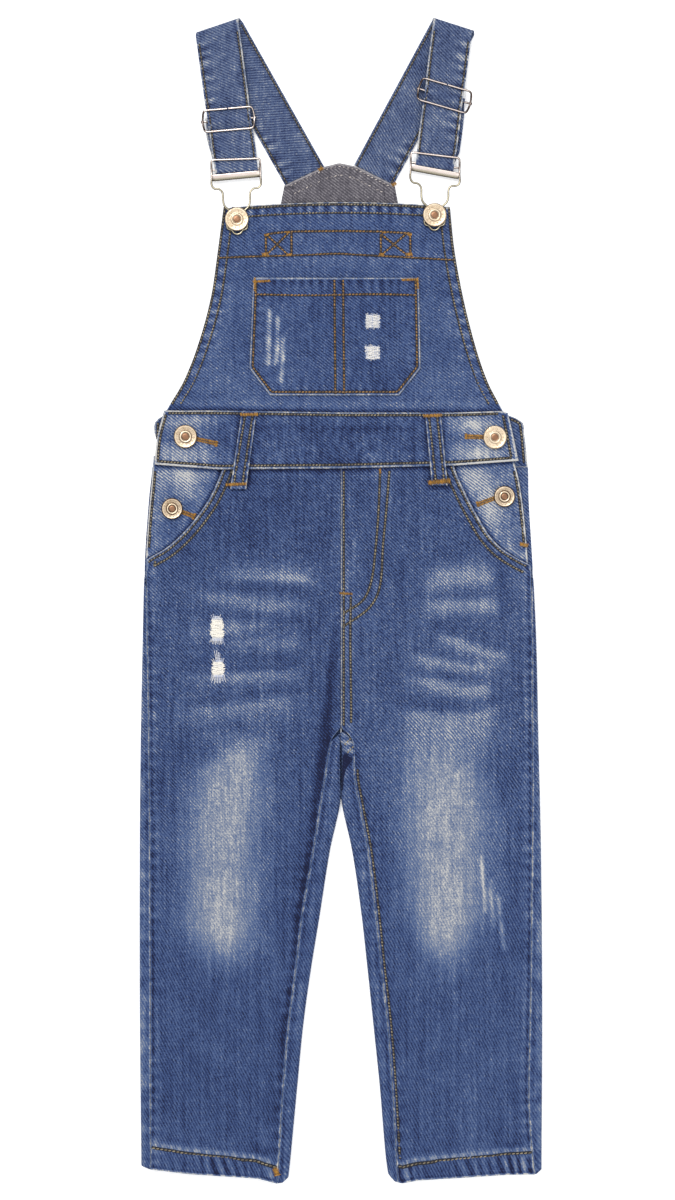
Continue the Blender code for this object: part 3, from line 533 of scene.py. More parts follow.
def denim(name, base, contrast=1.0, stops=INDIGO, rubbed=0.85, mottle=0.16, bars=0.10, bared=0.50):
    """Twill cloth; base is its place on the dye scale.

    Mesh attributes add the rest: "wale" is the distance across the wales in mm, "fade" lightens,
    and "edge" is the distance in mm from a worn edge. Strong fades keep the share rubbed of the
    wales. Mottle and bars are the strengths of blotches and of streaks down the warp.
    """
    n = Nodes(name)
    wobble = n.noise(170.0, detail=2.0)
    phase = n.math("MULTIPLY_ADD", n.attribute("wale"), 2 * math.pi / WALE, n.times(wobble, 1.5))
    broken = n.noise(520.0, detail=2.0, rough=0.6)
    short = n.noise(760.0, detail=1.0)
    wales = n.times(n.math("SINE", phase), n.math("MULTIPLY_ADD", short, 1.5, 0.85))
    streak = n.noise((1000.0, 40.0, 60.0), detail=3.0, rough=0.6)
    weft = n.noise((55.0, 1200.0, 60.0), detail=2.0)
    grain = n.noise(1300.0, detail=1.0)
    slub = n.noise(680.0, detail=1.0)
    patch = n.noise((55.0, 38.0, 50.0), detail=3.0, rough=0.6)
    cloud = n.noise((180.0, 120.0, 150.0), detail=2.0)
    blotch = n.noise((240.0, 150.0, 150.0), detail=2.0, rough=0.6)
    bar = n.noise((360.0, 17.0, 60.0), detail=3.0, rough=0.6)
    ragged = n.math("MULTIPLY_ADD", broken, -0.6, n.attribute("edge"))
    worn = n.times(n.span(ragged, 0.7, 1.7, 1.0, 0.0), n.span(cloud, -0.8, 0.1, 0.55, 1.0))
    dark = n.times(n.span(ragged, 1.2, 2.0), n.span(ragged, 2.2, 3.8, 1.0, 0.0))
    yarns = n.add(
        n.times(streak, 0.20 * contrast),
        n.times(weft, 0.12 * contrast),
        n.times(grain, 0.36 * contrast),
        n.times(slub, 0.24 * contrast),
    )
    uneven = n.add(n.times(patch, 0.14), n.times(blotch, mottle), n.times(bar, bars))
    split = n.tree.nodes.new("ShaderNodeSeparateXYZ")
    n.link(n.place, split.inputs[0])
    smoother = n.span(split.outputs["Y"], -0.32, -0.06, 0.72, 1.0)
    lines = 0.26 * contrast
    lines_kept = n.times(n.span(n.attribute("fade"), 0.32, 0.50, lines, lines * rubbed), smoother)
    knees = n.span(split.outputs["Y"], -0.125, -0.088, 1.0, 0.0)
    rubbed_flat = n.times(n.span(n.attribute("fade"), 0.08, 0.34, 0.0, 0.50), knees)
    lines_kept = n.times(lines_kept, n.math("SUBTRACT", 1.0, rubbed_flat))
    lines_kept = n.times(lines_kept, n.span(n.attribute("edge"), 0.8, 2.4, 0.25, 1.0))
    yarns_kept = n.times(n.span(n.attribute("fade"), 0.20, 0.50, 1.0, 0.78), smoother)
    uneven = n.times(uneven, n.span(n.attribute("fade"), 0.14, 0.40, 1.0, 0.40))
    breakup = n.add(1.0, n.times(streak, n.span(knees, 0.0, 1.0, 0.08, 0.15)), n.times(cloud, 0.16),
                    n.times(wales, n.span(knees, 0.0, 1.0, 0.08, 0.05)))
    tone = n.add(base, n.times(wales, lines_kept), n.times(yarns, yarns_kept), uneven,
                 n.times(n.attribute("fade"), breakup), n.times(worn, bared), n.times(dark, -0.10))
    colour = n.ramp(n.math("MINIMUM", n.math("MAXIMUM", tone, 0.0), 1.0), stops)
    n.set(Base_Color=colour, Roughness=n.span(grain, -1.0, 1.0, 0.78, 0.92))
    n.set(Sheen_Weight=0.05, Sheen_Roughness=0.6, Specular_IOR_Level=0.2)
    rise = n.add(n.times(wales, 0.6), n.times(streak, 0.7), n.times(grain, 0.5), n.times(weft, 0.3))
    n.bump(rise, 0.00016, 0.8)
    return n.material


def thread(name, colour, dark):
    """Sewing thread, lit to shaded: twisted plies with painted shade in the dips, a little uneven.
    """
    n = Nodes(name)
    tone = n.attribute("tone")
    uneven = n.noise(90.0, detail=2.0)
    ply = n.noise(2600.0, detail=1.0)
    share = n.add(0.55, n.times(tone, 0.5), n.times(uneven, 0.3), n.times(ply, 0.25))
    n.set(Base_Color=n.blend(n.math("MINIMUM", share, 1.0), dark, colour), Roughness=0.75)
    n.set(Sheen_Weight=0.2, Specular_IOR_Level=0.3)
    n.bump(ply, 0.00008, 0.6)
    return n.material


def plated(name, light, shade, gold, rim, rough):
    """Plated wire: draw lines, worn spots, a darker, rougher film in the bends and painted shade on
    its flanks.

    The "gold" attribute says where the wire is coloured golden; on the flat bar's lower side it
    paints that side's shade. The other attribute widens the painted shade on the flanks.
    """
    n = Nodes(name)
    facing = n.tree.nodes.new("ShaderNodeSeparateXYZ")
    n.link(n.tree.nodes.new("ShaderNodeNewGeometry").outputs["Normal"], facing.inputs[0])
    spots = n.noise(420.0, detail=4.0, rough=0.65)
    film = n.noise(90.0, detail=2.0)
    scratch = n.noise((2400.0, 300.0, 900.0), 0.6, detail=2.0)
    share = n.span(n.add(n.times(spots, 0.5), n.times(film, 0.7)), -0.4, 0.9)
    plating = n.blend(n.attribute("gold"), n.blend(share, light, shade), gold)
    # Where the normal turns from the top, the colour goes to the dark rim colour: painted shade on
    # the flanks.
    up = n.add(facing.outputs["Z"], n.times(spots, 0.04), n.times(n.attribute("dull_and_shade"), -0.42))
    flank = n.span(up, 0.50, 0.90, 1.0, 0.0)
    n.set(Base_Color=n.blend(flank, plating, rim), Metallic=1.0)
    n.set(Roughness=n.add(rough, n.times(n.math("ABSOLUTE", scratch), 0.10), n.times(share, 0.08)))
    n.bump(n.add(n.times(scratch, 0.4), n.times(spots, 0.2)), 0.00001, 0.3)
    return n.material


def floor_paper(name):
    """Matt white studio board with the faintest tooth."""
    n = Nodes(name)
    tooth = n.noise(800.0, detail=2.0)
    wide = n.noise(3.0, detail=1.0)
    share = n.span(n.add(tooth, wide), -1.5, 1.5)
    white = n.blend(share, (0.94, 0.94, 0.94, 1.0), (0.97, 0.97, 0.97, 1.0))
    n.set(Base_Color=white, Roughness=0.9)
    n.set(Specular_IOR_Level=0.1, Emission_Color=(1.0, 1.0, 1.0, 1.0), Emission_Strength=0.25)
    n.bump(tooth, 0.00005, 0.3)
    return n.material


# ---------------------------------------------------------------- meshes
def add_object(name, mesh, surface):
    item = bpy.data.objects.new(name, mesh)
    bpy.context.scene.collection.objects.link(item)
    mesh.materials.append(surface)
    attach(item, "root")
    return item


def set_attribute(mesh, name, values):
    layer = mesh.attributes.new(name, "FLOAT", "POINT")
    layer.data.foreach_set("value", np.asarray(values, np.float32).ravel())


def grid_mesh(name, x, y, z):
    """Rows run from high y to low, columns from low x to high, so that faces look up."""
    high, wide = x.shape
    points = np.stack([x, y, z], axis=-1).reshape(-1, 3) * MM
    k = (np.arange(high - 1)[:, None] * wide + np.arange(wide - 1)[None, :]).ravel()
    faces = np.stack([k, k + wide, k + wide + 1, k + 1], axis=1)
    mesh = bpy.data.meshes.new(name)
    mesh.from_pydata(points.tolist(), [], faces.tolist())
    mesh.shade_smooth()
    return mesh


def across_wales(x, y, below):
    """Distance across wales that run down to the right, below degrees under level."""
    return x * math.sin(math.radians(below)) + y * math.cos(math.radians(below))


def shell(name, x, y, z, thickness, surface, slot, fade=0.0, edge=50.0, wale=None, offset=-1.0):
    """A cloth wall under (or round) a grid of outside points, in mm."""
    mesh = grid_mesh(name, x, y, z)
    set_attribute(mesh, "fade", np.broadcast_to(fade, x.shape))
    set_attribute(mesh, "edge", np.broadcast_to(edge, x.shape))
    set_attribute(mesh, "wale", across_wales(x, y, 37.0) if wale is None else wale)
    item = add_object(name, mesh, surface)
    wall = item.modifiers.new("wall", "SOLIDIFY")
    wall.thickness = thickness * MM
    wall.offset = offset
    wall.use_even_offset = True
    return item


def panel(node, *grid_and_looks, **more):
    """The dressed shell of one of the part's panels."""
    piece = shell("cloth_" + node, *grid_and_looks, **more)
    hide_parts(node)
    return piece


def spread(low, high, near, count):
    """Columns from low to high in each row, with close ones beside both ends."""
    low, high = np.asarray(low, float)[:, None], np.asarray(high, float)[:, None]
    near = np.asarray(near, float)
    share = np.linspace(0.0, 1.0, count + 1)[None, :]
    inner = (low + near[-1]) + (high - low - 2 * near[-1]) * share
    return np.hstack([low + near[None, :-1], inner, high - near[None, -2::-1]])


def steps(first, last, pitch):
    return np.linspace(first, last, max(2, int(round(abs(last - first) / pitch)) + 1))


EDGE_COLUMNS = (0.0, 0.3, 0.8, 1.5, 2.4)


def edge_round(distance, radius=0.55):
    """How much a cloth edge rounds down at a distance in from it."""
    share = np.clip(1 - distance / radius, 0.0, 1.0)
    return radius * (1 - np.sqrt(1 - share ** 2))


def pucker(distance, s, seed, reach=7.0, period=7.5):
    """Gathered cloth beside a seam: -1 to 1, along s, fading with the distance."""
    wave = np.sin(2 * math.pi * s / period + 2.2 * noise(s, 0 * s, 11.0, 50.0, seed))
    wave = wave * (0.65 + 0.35 * noise(s, 0 * s, 23.0, 50.0, seed + 1))
    return wave * bell(np.maximum(distance, 0.0), reach)


# ---------------------------------------------------------------- stitches
class Sewing:
    """Collects threads of one colour on one panel, and makes them one mesh."""

    SIDES = 5
    RINGS = ((0.0, 0.45), (0.2, 1.0), (0.8, 1.0), (1.0, 0.45))

    def __init__(self):
        self.points, self.faces, self.tones = [], [], []

    def stitch(self, start, end, up, width, height, tone):
        """One thread lying from start to end, width across and height high."""
        start, end = np.asarray(start, float), np.asarray(end, float)
        run = end - start
        length = np.linalg.norm(run)
        if length < 1e-6:
            return
        run = run / length
        side = np.cross(run, up)
        side = side / max(np.linalg.norm(side), 1e-9)
        top = np.cross(side, run)
        first = len(self.points)
        for share, size in self.RINGS:
            middle = start + run * length * share
            for k in range(self.SIDES):
                angle = 2 * math.pi * k / self.SIDES + math.pi / 2
                place = middle + side * math.cos(angle) * width / 2 * size
                place = place + top * math.sin(angle) * height * size
                self.points.append(place)
                self.tones.append(tone)
        last_ring = len(self.RINGS) - 1
        for ring in range(last_ring):
            for k in range(self.SIDES):
                a = first + ring * self.SIDES + k
                b = first + ring * self.SIDES + (k + 1) % self.SIDES
                self.faces.append((a, a + self.SIDES, b + self.SIDES, b))
        self.faces.append(tuple(first + k for k in range(self.SIDES)))
        end_ring = first + last_ring * self.SIDES
        self.faces.append(tuple(end_ring + k for k in reversed(range(self.SIDES))))

    def row(self, path, surface, length=2.5, gap=0.75, width=0.62, height=0.34, seed=0, lift=0.05,
            skip=0.0, sway=0.12, slant=0.50):
        """Stitches along a path of (x, y), lying on surface(x, y)."""
        path = np.asarray(path, float)
        total = lengths_to(path)
        count = max(1, int(total[-1] / (length + gap)))
        pitch = total[-1] / count
        for k in range(count):
            if skip and lattice(k, seed, 5) < skip:
                continue
            s = np.array([k * pitch + gap / 2, (k + 1) * pitch - gap / 2])
            x, y = np.interp(s, total, path[:, 0]), np.interp(s, total, path[:, 1])
            run = np.array([x[1] - x[0], y[1] - y[0]]) / max(s[1] - s[0], 1e-6)
            sideways = np.array([-0.5, 0.5]) * slant + sway * (lattice(k, seed, 1) - 0.5)
            x, y = x - run[1] * sideways, y + run[0] * sideways
            z = surface(x, y) + lift
            tone = 2 * chance(k, seed, 3) - 1
            self.stitch((x[0], y[0], z[0]), (x[1], y[1], z[1]), (0, 0, 1), width, height, tone)

    def along(self, line, lift, seed, length, gap, width, height):
        """Stitches on top of a line of (x, y, z)."""
        total = np.concatenate([[0.0], np.cumsum(np.linalg.norm(np.diff(line, axis=0), axis=1))])
        count = max(1, int(total[-1] / (length + gap)))
        pitch = total[-1] / count
        for k in range(count):
            ends = []
            for s in (k * pitch + gap / 2, (k + 1) * pitch - gap / 2):
                ends.append([np.interp(s, total, line[:, axis]) for axis in range(3)])
                ends[-1][2] += lift + 0.03
            tone = 2 * chance(k, seed, 3) - 1
            self.stitch(*ends, (0, 0, 1), width, height, tone)

    def strip(self, line, width=1.9):
        """A thin band along a line of (x, y, z), a little proud in its middle."""
        run = np.gradient(line, axis=0)
        side = np.stack([run[:, 1], -run[:, 0], 0 * run[:, 0]], axis=1)
        side /= np.maximum(np.linalg.norm(side, axis=1), 1e-9)[:, None]
        first = len(self.points)
        for middle, across in zip(line, side):
            for share, rise in ((-0.5, 0.03), (0.0, 0.13), (0.5, 0.03)):
                self.points.append(middle + across * share * width + (0.0, 0.0, rise))
                self.tones.append(0.0)
        for i in range(len(line) - 1):
            for k in (0, 1):
                a = first + 3 * i + k
                self.faces.append((a, a + 1, a + 4, a + 3))

    def channel(self, path, surface, width=2.0, pitch=1.5):
        """Dark band under a row of stitches: painted shade of the pressed-in band and the unfaded
        dye.
        """
        path = dense(path, pitch)
        self.strip(np.column_stack([path, surface(path[:, 0], path[:, 1])]), width)

    def satin(self, x1, y1, x2, y2, width, surface, pitch=0.55, seed=0, lift=0.15):
        """A bartack: close threads lying across the line from 1 to 2."""
        run = np.array([x2 - x1, y2 - y1])
        length = np.hypot(*run)
        run = run / length
        across = np.array([-run[1], run[0]]) * width / 2
        for k in range(int(length / pitch) + 1):
            middle = np.array([x1, y1]) + run * k * pitch
            stretch = 0.9 + 0.25 * chance(k, seed, 7)
            tilt = run * 0.3 * (1 if k % 2 else -1)
            ends = [middle - across * stretch - tilt, middle + across * stretch + tilt]
            xy = np.array(ends)
            z = surface(xy[:, 0], xy[:, 1]) + lift
            tone = 2 * chance(k, seed, 8) - 1
            self.stitch((*ends[0], z[0]), (*ends[1], z[1]), (0, 0, 1), pitch * 1.15, 0.35, tone)

    def finish(self, name, surface, slot="denim"):
        mesh = bpy.data.meshes.new(name)
        mesh.from_pydata((np.array(self.points) * MM).tolist(), [], self.faces)
        mesh.shade_smooth()
        set_attribute(mesh, "tone", self.tones)
        return add_object(name, mesh, surface)


def offset_path(path, distance):
    """The path moved sideways, to the left of its direction when distance > 0."""
    path = np.asarray(path, float)
    run = np.gradient(path, axis=0)
    run /= np.maximum(np.hypot(run[:, 0], run[:, 1]), 1e-9)[:, None]
    return path + np.stack([-run[:, 1], run[:, 0]], axis=1) * distance


def dense(points, pitch=3.0, smooth_turns=False):
    """A path through a few points, with more between them."""
    points = np.asarray(points, float)
    total = lengths_to(points)
    s = np.linspace(0.0, total[-1], max(2, int(total[-1] / pitch) + 1))
    if smooth_turns:
        return np.stack([curve(total, column, s) for column in points.T], axis=1)
    return np.stack([np.interp(s, total, column) for column in points.T], axis=1)


def bend(points, pitch=2.0):
    """A smooth path through a few points."""
    return dense(points, pitch, smooth_turns=True)


# ---------------------------------------------------------------- wear
Whisker = namedtuple("Whisker", "path above below amount")
Scratch = namedtuple("Scratch", "path width amount")
WHISKERS = (
    Whisker(((-91.4, 16.9), (-61.9, 16.9), (-36.7, 16.9), (-16.6, 12.6)), 6.5, 2.2, 0.24),
    Whisker(((-56.9, 16.2), (-36.7, 16.2), (-17.3, 12.6)), 1.8, 1.4, 0.14),
    Whisker(((-112.3, 4.7), (-92.9, 2.5), (-58.3, -1.8), (-19.4, -5.4)), 2.5, 4.3, 0.24),
    Whisker(((-113.8, -24.1), (-90.7, -22), (-69.1, -18.4), (-51.1, -15.5)), 3.2, 3.2, 0.23),
    Whisker(((-81.4, -29.9), (-54.7, -29.9), (-25.2, -29.9)), 2.9, 5.0, 0.19),
    Whisker(((-112.3, -55.8), (-81.4, -54.4), (-54.7, -52.9), (-29.5, -51.5)), 1.8, 5.4, 0.25),
    Whisker(((-115.9, -81), (-94.3, -78.8), (-69.1, -76), (-29.5, -70.2)), 2.5, 7.9, 0.22),
    Whisker(((55.4, 9.7), (71.3, 15.5), (92.9, 19.1), (112.3, 16.9)), 6.5, 6.5, 0.24),
    Whisker(((56.9, -4), (74.9, -3.2), (92.9, -2.5), (115.9, -3.2)), 3.2, 5.0, 0.24),
    Whisker(((66.2, -26.3), (78.5, -28.4), (96.5, -35.6), (122.4, -42.1)), 2.5, 3.6, 0.24),
    Whisker(((46.8, -39.2), (64.1, -43.6), (89.3, -47.9), (112.3, -47.2)), 2.5, 4.3, 0.22),
    Whisker(((46.1, -56.5), (64.1, -58.7), (89.3, -64.4), (112.3, -63)), 2.5, 5.0, 0.24),
    Whisker(((36, -80.3), (64.1, -83.2), (92.9, -83.2), (118.8, -77.4)), 2.2, 10.1, 0.22),
    Whisker(((-87.1, 9.7), (-54.7, 9), (-16.6, 4.7)), 2.2, 2.2, -0.10),
    Whisker(((-81.4, -11.9), (-51.1, -11.9), (-18, -14)), 2.9, 2.9, -0.08),
    Whisker(((-79.9, -39.2), (-51.1, -40.7), (-25.2, -40.7)), 2.9, 2.9, -0.08),
    Whisker(((-79.9, -48.6), (-56.9, -48.6), (-29.5, -47.2)), 1.8, 1.8, -0.07),
    Whisker(((-83.5, -63), (-56.9, -65.9), (-29.5, -63)), 2.9, 2.9, -0.09),
    Whisker(((60.5, 3.2), (85.7, 4.7), (113, 6.1)), 1.8, 1.8, -0.08),
    Whisker(((56.9, -16.9), (78.5, -19.1), (100.1, -24.1)), 3.6, 3.6, -0.06),
    Whisker(((49.7, -34.2), (67.7, -37.1), (78.5, -39.2)), 1.8, 1.8, -0.06),
    Whisker(((42.5, -51.5), (71.3, -52.9), (107.3, -55.8)), 2.2, 2.2, -0.09),
    Whisker(((38.9, -73.1), (71.3, -75.2), (110.9, -72.4)), 2.9, 2.9, -0.09),
)
# Worn stripes down the legs, from top to bottom; the amount is added to the cloth's paleness.
LEG_FADES = (
    # left knee
    table(FADE, """
        -91 -70 24 24 0
        -100.4 -69.5 26 24 0.26
        -110.5 -72.5 20 20.5 0.44
        -120.6 -75.6 27 24 0.49
        -130.7 -78.8 29 27 0.47
        -140.8 -81.9 29.5 29.5 0.49
        -160.9 -83.2 30 27.5 0.49
        -171 -83.5 30 25.5 0.51
        -191.2 -84 30 26 0.48
        -201.2 -84.2 30 25 0.5
        -221.4 -84.7 30 25 0.5
        -231.5 -85 29 25.4 0.52
        -241.6 -85.2 25.5 25.5 0.48
        -251.6 -85.5 21.4 22.8 0.37
        -262 -85.5 19 19 0.17
        -274 -85.5 17 17 0"""),
    # right knee
    table(FADE, """
        -84 74.9 40 40 0
        -92 74.9 38 38 0.1
        -100 72.9 32 34 0.24
        -106.2 70.6 30 31 0.32
        -116.3 68.4 27.5 31 0.41
        -126.4 70 29.5 34 0.46
        -146.5 72.8 30 34 0.48
        -156.6 72 29.5 36 0.49
        -166.7 72.3 28.5 36 0.49
        -186.8 73 29.5 33 0.48
        -207 74 29 32 0.48
        -217.1 74.4 27.8 30 0.48
        -227.2 74.8 26.5 26 0.49
        -237.2 75.1 23.2 21 0.49
        -247.3 75.3 20.5 17 0.44
        -257.4 75.6 15.5 14.7 0.3
        -268 76 14 13 0.1
        -277 76 14 13 0"""),
    # painted shade in the fold beside the centre seam and along the left inside seam
    table(FADE, """
        -10.4 -5 1.4 1.4 0
        -28.4 -5.4 1.8 1.8 -0.12
        -46.4 -6.8 2.5 2.5 -0.24
        -64.4 -8.6 3.2 3.2 -0.28
        -100.4 -11.5 4.3 4.3 -0.3
        -125.6 -15.8 3.6 3.6 -0.28
        -165.2 -20.9 2.5 2.5 -0.2
        -201.2 -26.6 2.2 2.2 -0.18
        -226.4 -31 2.2 2.2 -0.15
        -258.8 -35.3 1.8 1.8 -0.08
        -302 -40.3 2.5 2.5 -0.1
        -316.4 -42.5 2.9 2.9 -0.16
        -332.3 -43.2 2.2 2.2 0"""),
    # right of the centre seam
    table(FADE, """
        95.4 7.9 11.5 11.5 0
        79.6 7.9 11.5 11.5 0.05
        0.4 10.1 11.5 11.5 0.05
        -100.4 22.3 13 13 0.06
        -143.6 26.6 8.6 8.6 0.03
        -165.2 28.1 7.2 7.2 0"""),
    # left thigh
    table(FADE, """
        29.2 -58.3 50.4 50.4 0
        11.2 -61.9 50.4 50.4 0.05
        -86 -69.1 47.5 47.5 0.06
        -104 -72.7 43.2 43.2 0"""),
    # right thigh and shin
    table(FADE, """
        29.2 71.3 43.2 43.2 0
        11.2 82.1 43.2 43.2 0.06
        -86 82.1 47.5 47.5 0.07
        -114.8 85.7 43.2 43.2 0.05
        -237.2 92.9 36.8 36.8 0.04
        -380 88 44 44 0.04
        -404 88 44 44 0"""),
    # left hip
    table(FADE, """
        99 -62 46 46 -0.04
        40 -62 46 46 -0.05
        24 -62 46 46 0"""),
    # right hip
    table(FADE, """
        99 76 42 42 0.04
        40 76 42 42 0.04
        22 76 42 42 0"""),
)
LEG_SCRATCHES = (
    Scratch(((100.1, -180.4), (102.6, -205.0), (103.7, -226.4)), 1.5, 0.36),
    Scratch(((106.9, -197.6), (108.0, -216.0), (109.7, -236.5)), 1.5, 0.34),
    Scratch(((112.6, -209.2), (114.6, -228.0), (117.8, -253.1)), 1.6, 0.36),
)


def worn(rows, x, y):
    """Soft worn or dark lines between two points each."""
    total = np.zeros(np.broadcast(x, y).shape)
    for w in rows:
        t, away = along_line(x, y, w.x1, w.y1, w.x2, w.y2)
        ends = 0.55 + 0.45 * np.sin(math.pi * t) + 0.18 * noise(x, y, 9.0, 7.0, w.x1)
        total = total + w.amount * ends * bell(away, w.width)
    return total


WHISKER_REACH = 1.45             # over the reach in the table
WHISKER_GAIN = 1.02
RIGHT_WHISKER_GAIN = 1.36        # the right thigh's light ones are stronger


def whiskered(rows, x, y):
    """Worn lines across the cloth, each with its own reach above and below."""
    total = np.zeros(np.broadcast(x, y).shape)
    for w in rows:
        places, rises = zip(*w.path)
        rise = y - np.interp(x, places, rises) - 0.5 * noise(x, x, 9.0, 9.0, places[0])
        share = (x - places[0]) / (places[-1] - places[0])
        ends = smooth((share + 0.08) / 0.36) * smooth((1.06 - share) / 0.26)
        uneven = 1 + 0.14 * noise(x, y, 13.0, 8.0, places[0])
        reach = WHISKER_REACH * np.where(rise > 0, w.above, w.below)
        strong = places[0] > 0 and w.amount > 0
        strength = w.amount * (RIGHT_WHISKER_GAIN if strong else WHISKER_GAIN)
        total = total + strength * ends * uneven * np.exp(-np.abs(rise / reach) ** 1.9)
    return total


def faded(rows, x, y):
    """A worn stripe down the cloth: centre, half width and amount by height."""
    centre, left, right, amount = (down(rows, column, y) for column in FADE.split()[1:])
    half = np.where(x < centre, left, right)
    ragged = 1 + 0.06 * noise(x, y, 3.2, 34.0, rows[0].x)
    ragged = ragged + 0.06 * noise(x, y, 12.0, 16.0, rows[0].y)
    inside = (y < rows[0].y) & (y > rows[-1].y)
    return np.where(inside, amount * ragged * np.exp(-(np.abs(x - centre) / half) ** 2.6), 0.0)


def scratched(rows, x, y):
    total = np.zeros(np.broadcast(x, y).shape)
    for scratch in rows:
        away, at = to_path(x, y, scratch.path)
        length = sum(math.dist(a, b) for a, b in zip(scratch.path, scratch.path[1:]))
        ends = smooth(at / 5.0) * smooth((length - at) / 4.0)
        patchy = 1 + 0.45 * noise(x, y, 5.0, 6.0, scratch.width)
        total = total + scratch.amount * ends * patchy * bell(away, scratch.width)
    return total


PUCKER_CONTRAST = 1.9


def light_and_dark(value, light, dark):
    """A pucker's ridges are worn light and its dips stay dark, with painted light and shade added.
    """
    return PUCKER_CONTRAST * np.where(value > 0, value * light, value * dark)


# ---------------------------------------------------------------- legs
def leg_y(x, y, hem):
    drop = side_to_side(hem, x) - HEM_LEVEL
    return y + drop * smooth(1 - (y - HEM_LEVEL) / HEM_FOLLOW)


def leg_wales(x, y):
    """Distance across the wales of a leg: 44 degrees under level at the thigh, 62 at the shin."""
    share = (y + 260.0) / 200.0
    turning = np.where(share > 1, share - 0.5, np.clip(share, 0.0, 1.0) ** 2 / 2)
    return x * (0.82 - 0.12 * smooth(share)) + 0.42 * y + 60.0 * turning


def seam_x(side, y):
    """The outer edge of a front leg panel."""
    sign = SIGN[side]
    scoop = np.where(y > 25.5, np.maximum(sign * down(SCOOP, side, y), 0), 1e9)
    return sign * np.minimum(scoop, sign * down(OUTSEAM, side, y))


def inseam_x(side, y):
    sign = SIGN[side]
    return np.where(y < CROTCH_Y, down(INSIDE_LEG, side + "_seam", y), sign * CENTRE_GAP)


def scoop_path(side):
    ys = np.linspace(97.0, 26.5, 60)
    return np.stack([down(SCOOP, side, ys), ys], axis=1)


HEM_ROWS = (-413.7, -413.2, -412.5, -411.6)


def leg_ys(pitch):
    ys = steps(99.5, -410.4, pitch)
    return np.concatenate([ys, HEM_ROWS[::-1], [HEM_LEVEL]])


def hem_lean(x):
    """How much the hem's seam rises towards the outer side of each leg."""
    return np.interp(x, (-140.0, -46.0, 42.0, 137.0), (3.6, -1.6, -1.6, 2.8))


def hem_wear(depth, s, seed):
    """Wear of a turned leg hem: (height, fade) at a depth above its lower edge."""
    rope = np.sin(2 * math.pi * (s + 0.25 * depth) / 7.4 + 2.6 * noise(s, depth, 12.0, 40.0, seed))
    rope = rope * (0.55 + 0.75 * noise(s, depth, 11.0, 30.0, seed + 1))
    inside = smooth((LEG_HEM + 1.5 - depth) / 3.0)
    height = 0.20 * rope * inside + 0.22 * pucker(depth - LEG_HEM, s, seed + 2, 6.0, 6.5)
    fade = light_and_dark(rope, 0.15, 0.19) * inside + 0.03 * inside
    depth = depth - hem_lean(s)
    above = bell(depth - LEG_HEM - 2.5, 2.4)
    swing = 2 * math.pi * s / 6.5 + 2 * noise(s, 0 * s, 9.0, 9.0, seed + 3)
    ragged = smooth(0.5 + 1.2 * np.sin(swing))
    fade = fade + 0.52 * above * (0.55 + 0.45 * ragged) - 0.14 * bell(depth - LEG_HEM + 0.2, 0.9)
    return height, fade


# Worn corners of the hems with the dark hollows above them, then hips and fly.
LEG_WEAR = table(WEAR, """
    -54 -407 -46 -407 5.5 0.2
    -60 -393.5 -52 -396 4 -0.14
    -138 -400 -128 -399 3 0.12
    41 -407 48 -407 5.5 0.2
    36 -390 42 -396 4 -0.12
    128 -406 138 -404 5 0.18
    116 -396 130 -392 4 -0.14
    127 30 131 -18 9 0.13
    -131 24 -134 -2 8 0.11
    4 52 3 -8 7 0.06
    -20 92 20 92 5 -0.08""")


def leg_place(side, x, y):
    """Distances to the outer and the inner edge, and shares of scoop and inside leg."""
    outer = SIGN[side] * (seam_x(side, y) - x)
    inner = SIGN[side] * (x - inseam_x(side, y))
    return outer, inner, smooth((y - SIDE_SLIT_Y) / 10.0), smooth((CROTCH_Y - y) / 12.0)


def front_leg_height(side, x, y):
    """y is measured up the leg: the hem's lowest row is at HEM_LEVEL."""
    outer, inner, scooped, below = leg_place(side, x, y)
    height = top_height(x, y) + hem_rise(y - HEM_LEVEL, LEG_HEM)
    height = height + 0.30 * bell(outer, 2.6)
    height = height + 0.25 * bell(inner, 2.2) * (0.5 + 0.5 * below)
    height = height + 0.22 * pucker(outer, y, 11, 7.0, 8.5) * (1 - 0.5 * scooped)
    height = height + 0.22 * pucker(inner, y, 12, 8.0, 9.0) * (0.4 + 0.6 * below)
    rope, _ = hem_wear(y - HEM_LEVEL, x, 20)
    return height + rope - edge_round(outer) - edge_round(inner)


def front_leg_fade(side, x, y):
    """How pale the front leg's denim is at each point."""
    outer, inner, scooped, below = leg_place(side, x, y)
    fade = whiskered(WHISKERS, x, y) + scratched(LEG_SCRATCHES, x, y) + worn(LEG_WEAR, x, y)
    under_band = side_to_side(BAND_BOTTOM, x) - y
    # Painted shadow under the waistband's lower edge and beside the belt loops.
    fade = fade - 0.32 * bell(under_band, 1.9) - 0.26 * loop_shadow(x, y) * smooth((y - 78.0) / 3.0)
    fade = fade + 0.10 * bell(under_band - 4.6, 1.5)
    for rows in LEG_FADES:
        fade = fade + faded(rows, x, y)
    fade = fade + light_and_dark(pucker(outer, y, 11, 6.0, 8.5), 0.13, 0.08) * (1 - 0.6 * scooped)
    fade = fade + light_and_dark(pucker(inner, y, 12, 6.0, 9.0), 0.07, 0.10) * (0.3 + 0.7 * below)
    fade = fade - 0.20 * (1 - scooped) * bell(outer, 0.9) - 0.10 * bell(outer - 2.2, 0.8)
    fade = fade + 0.08 * bell(outer - 4.2, 2.2)
    fade = fade - 0.16 * below * bell(inner - 3.0, 1.3) * (0.6 + 0.8 * noise(y, x, 7.0, 50.0, 14))
    _, rope = hem_wear(y - HEM_LEVEL, x, 20)
    return fade + rope


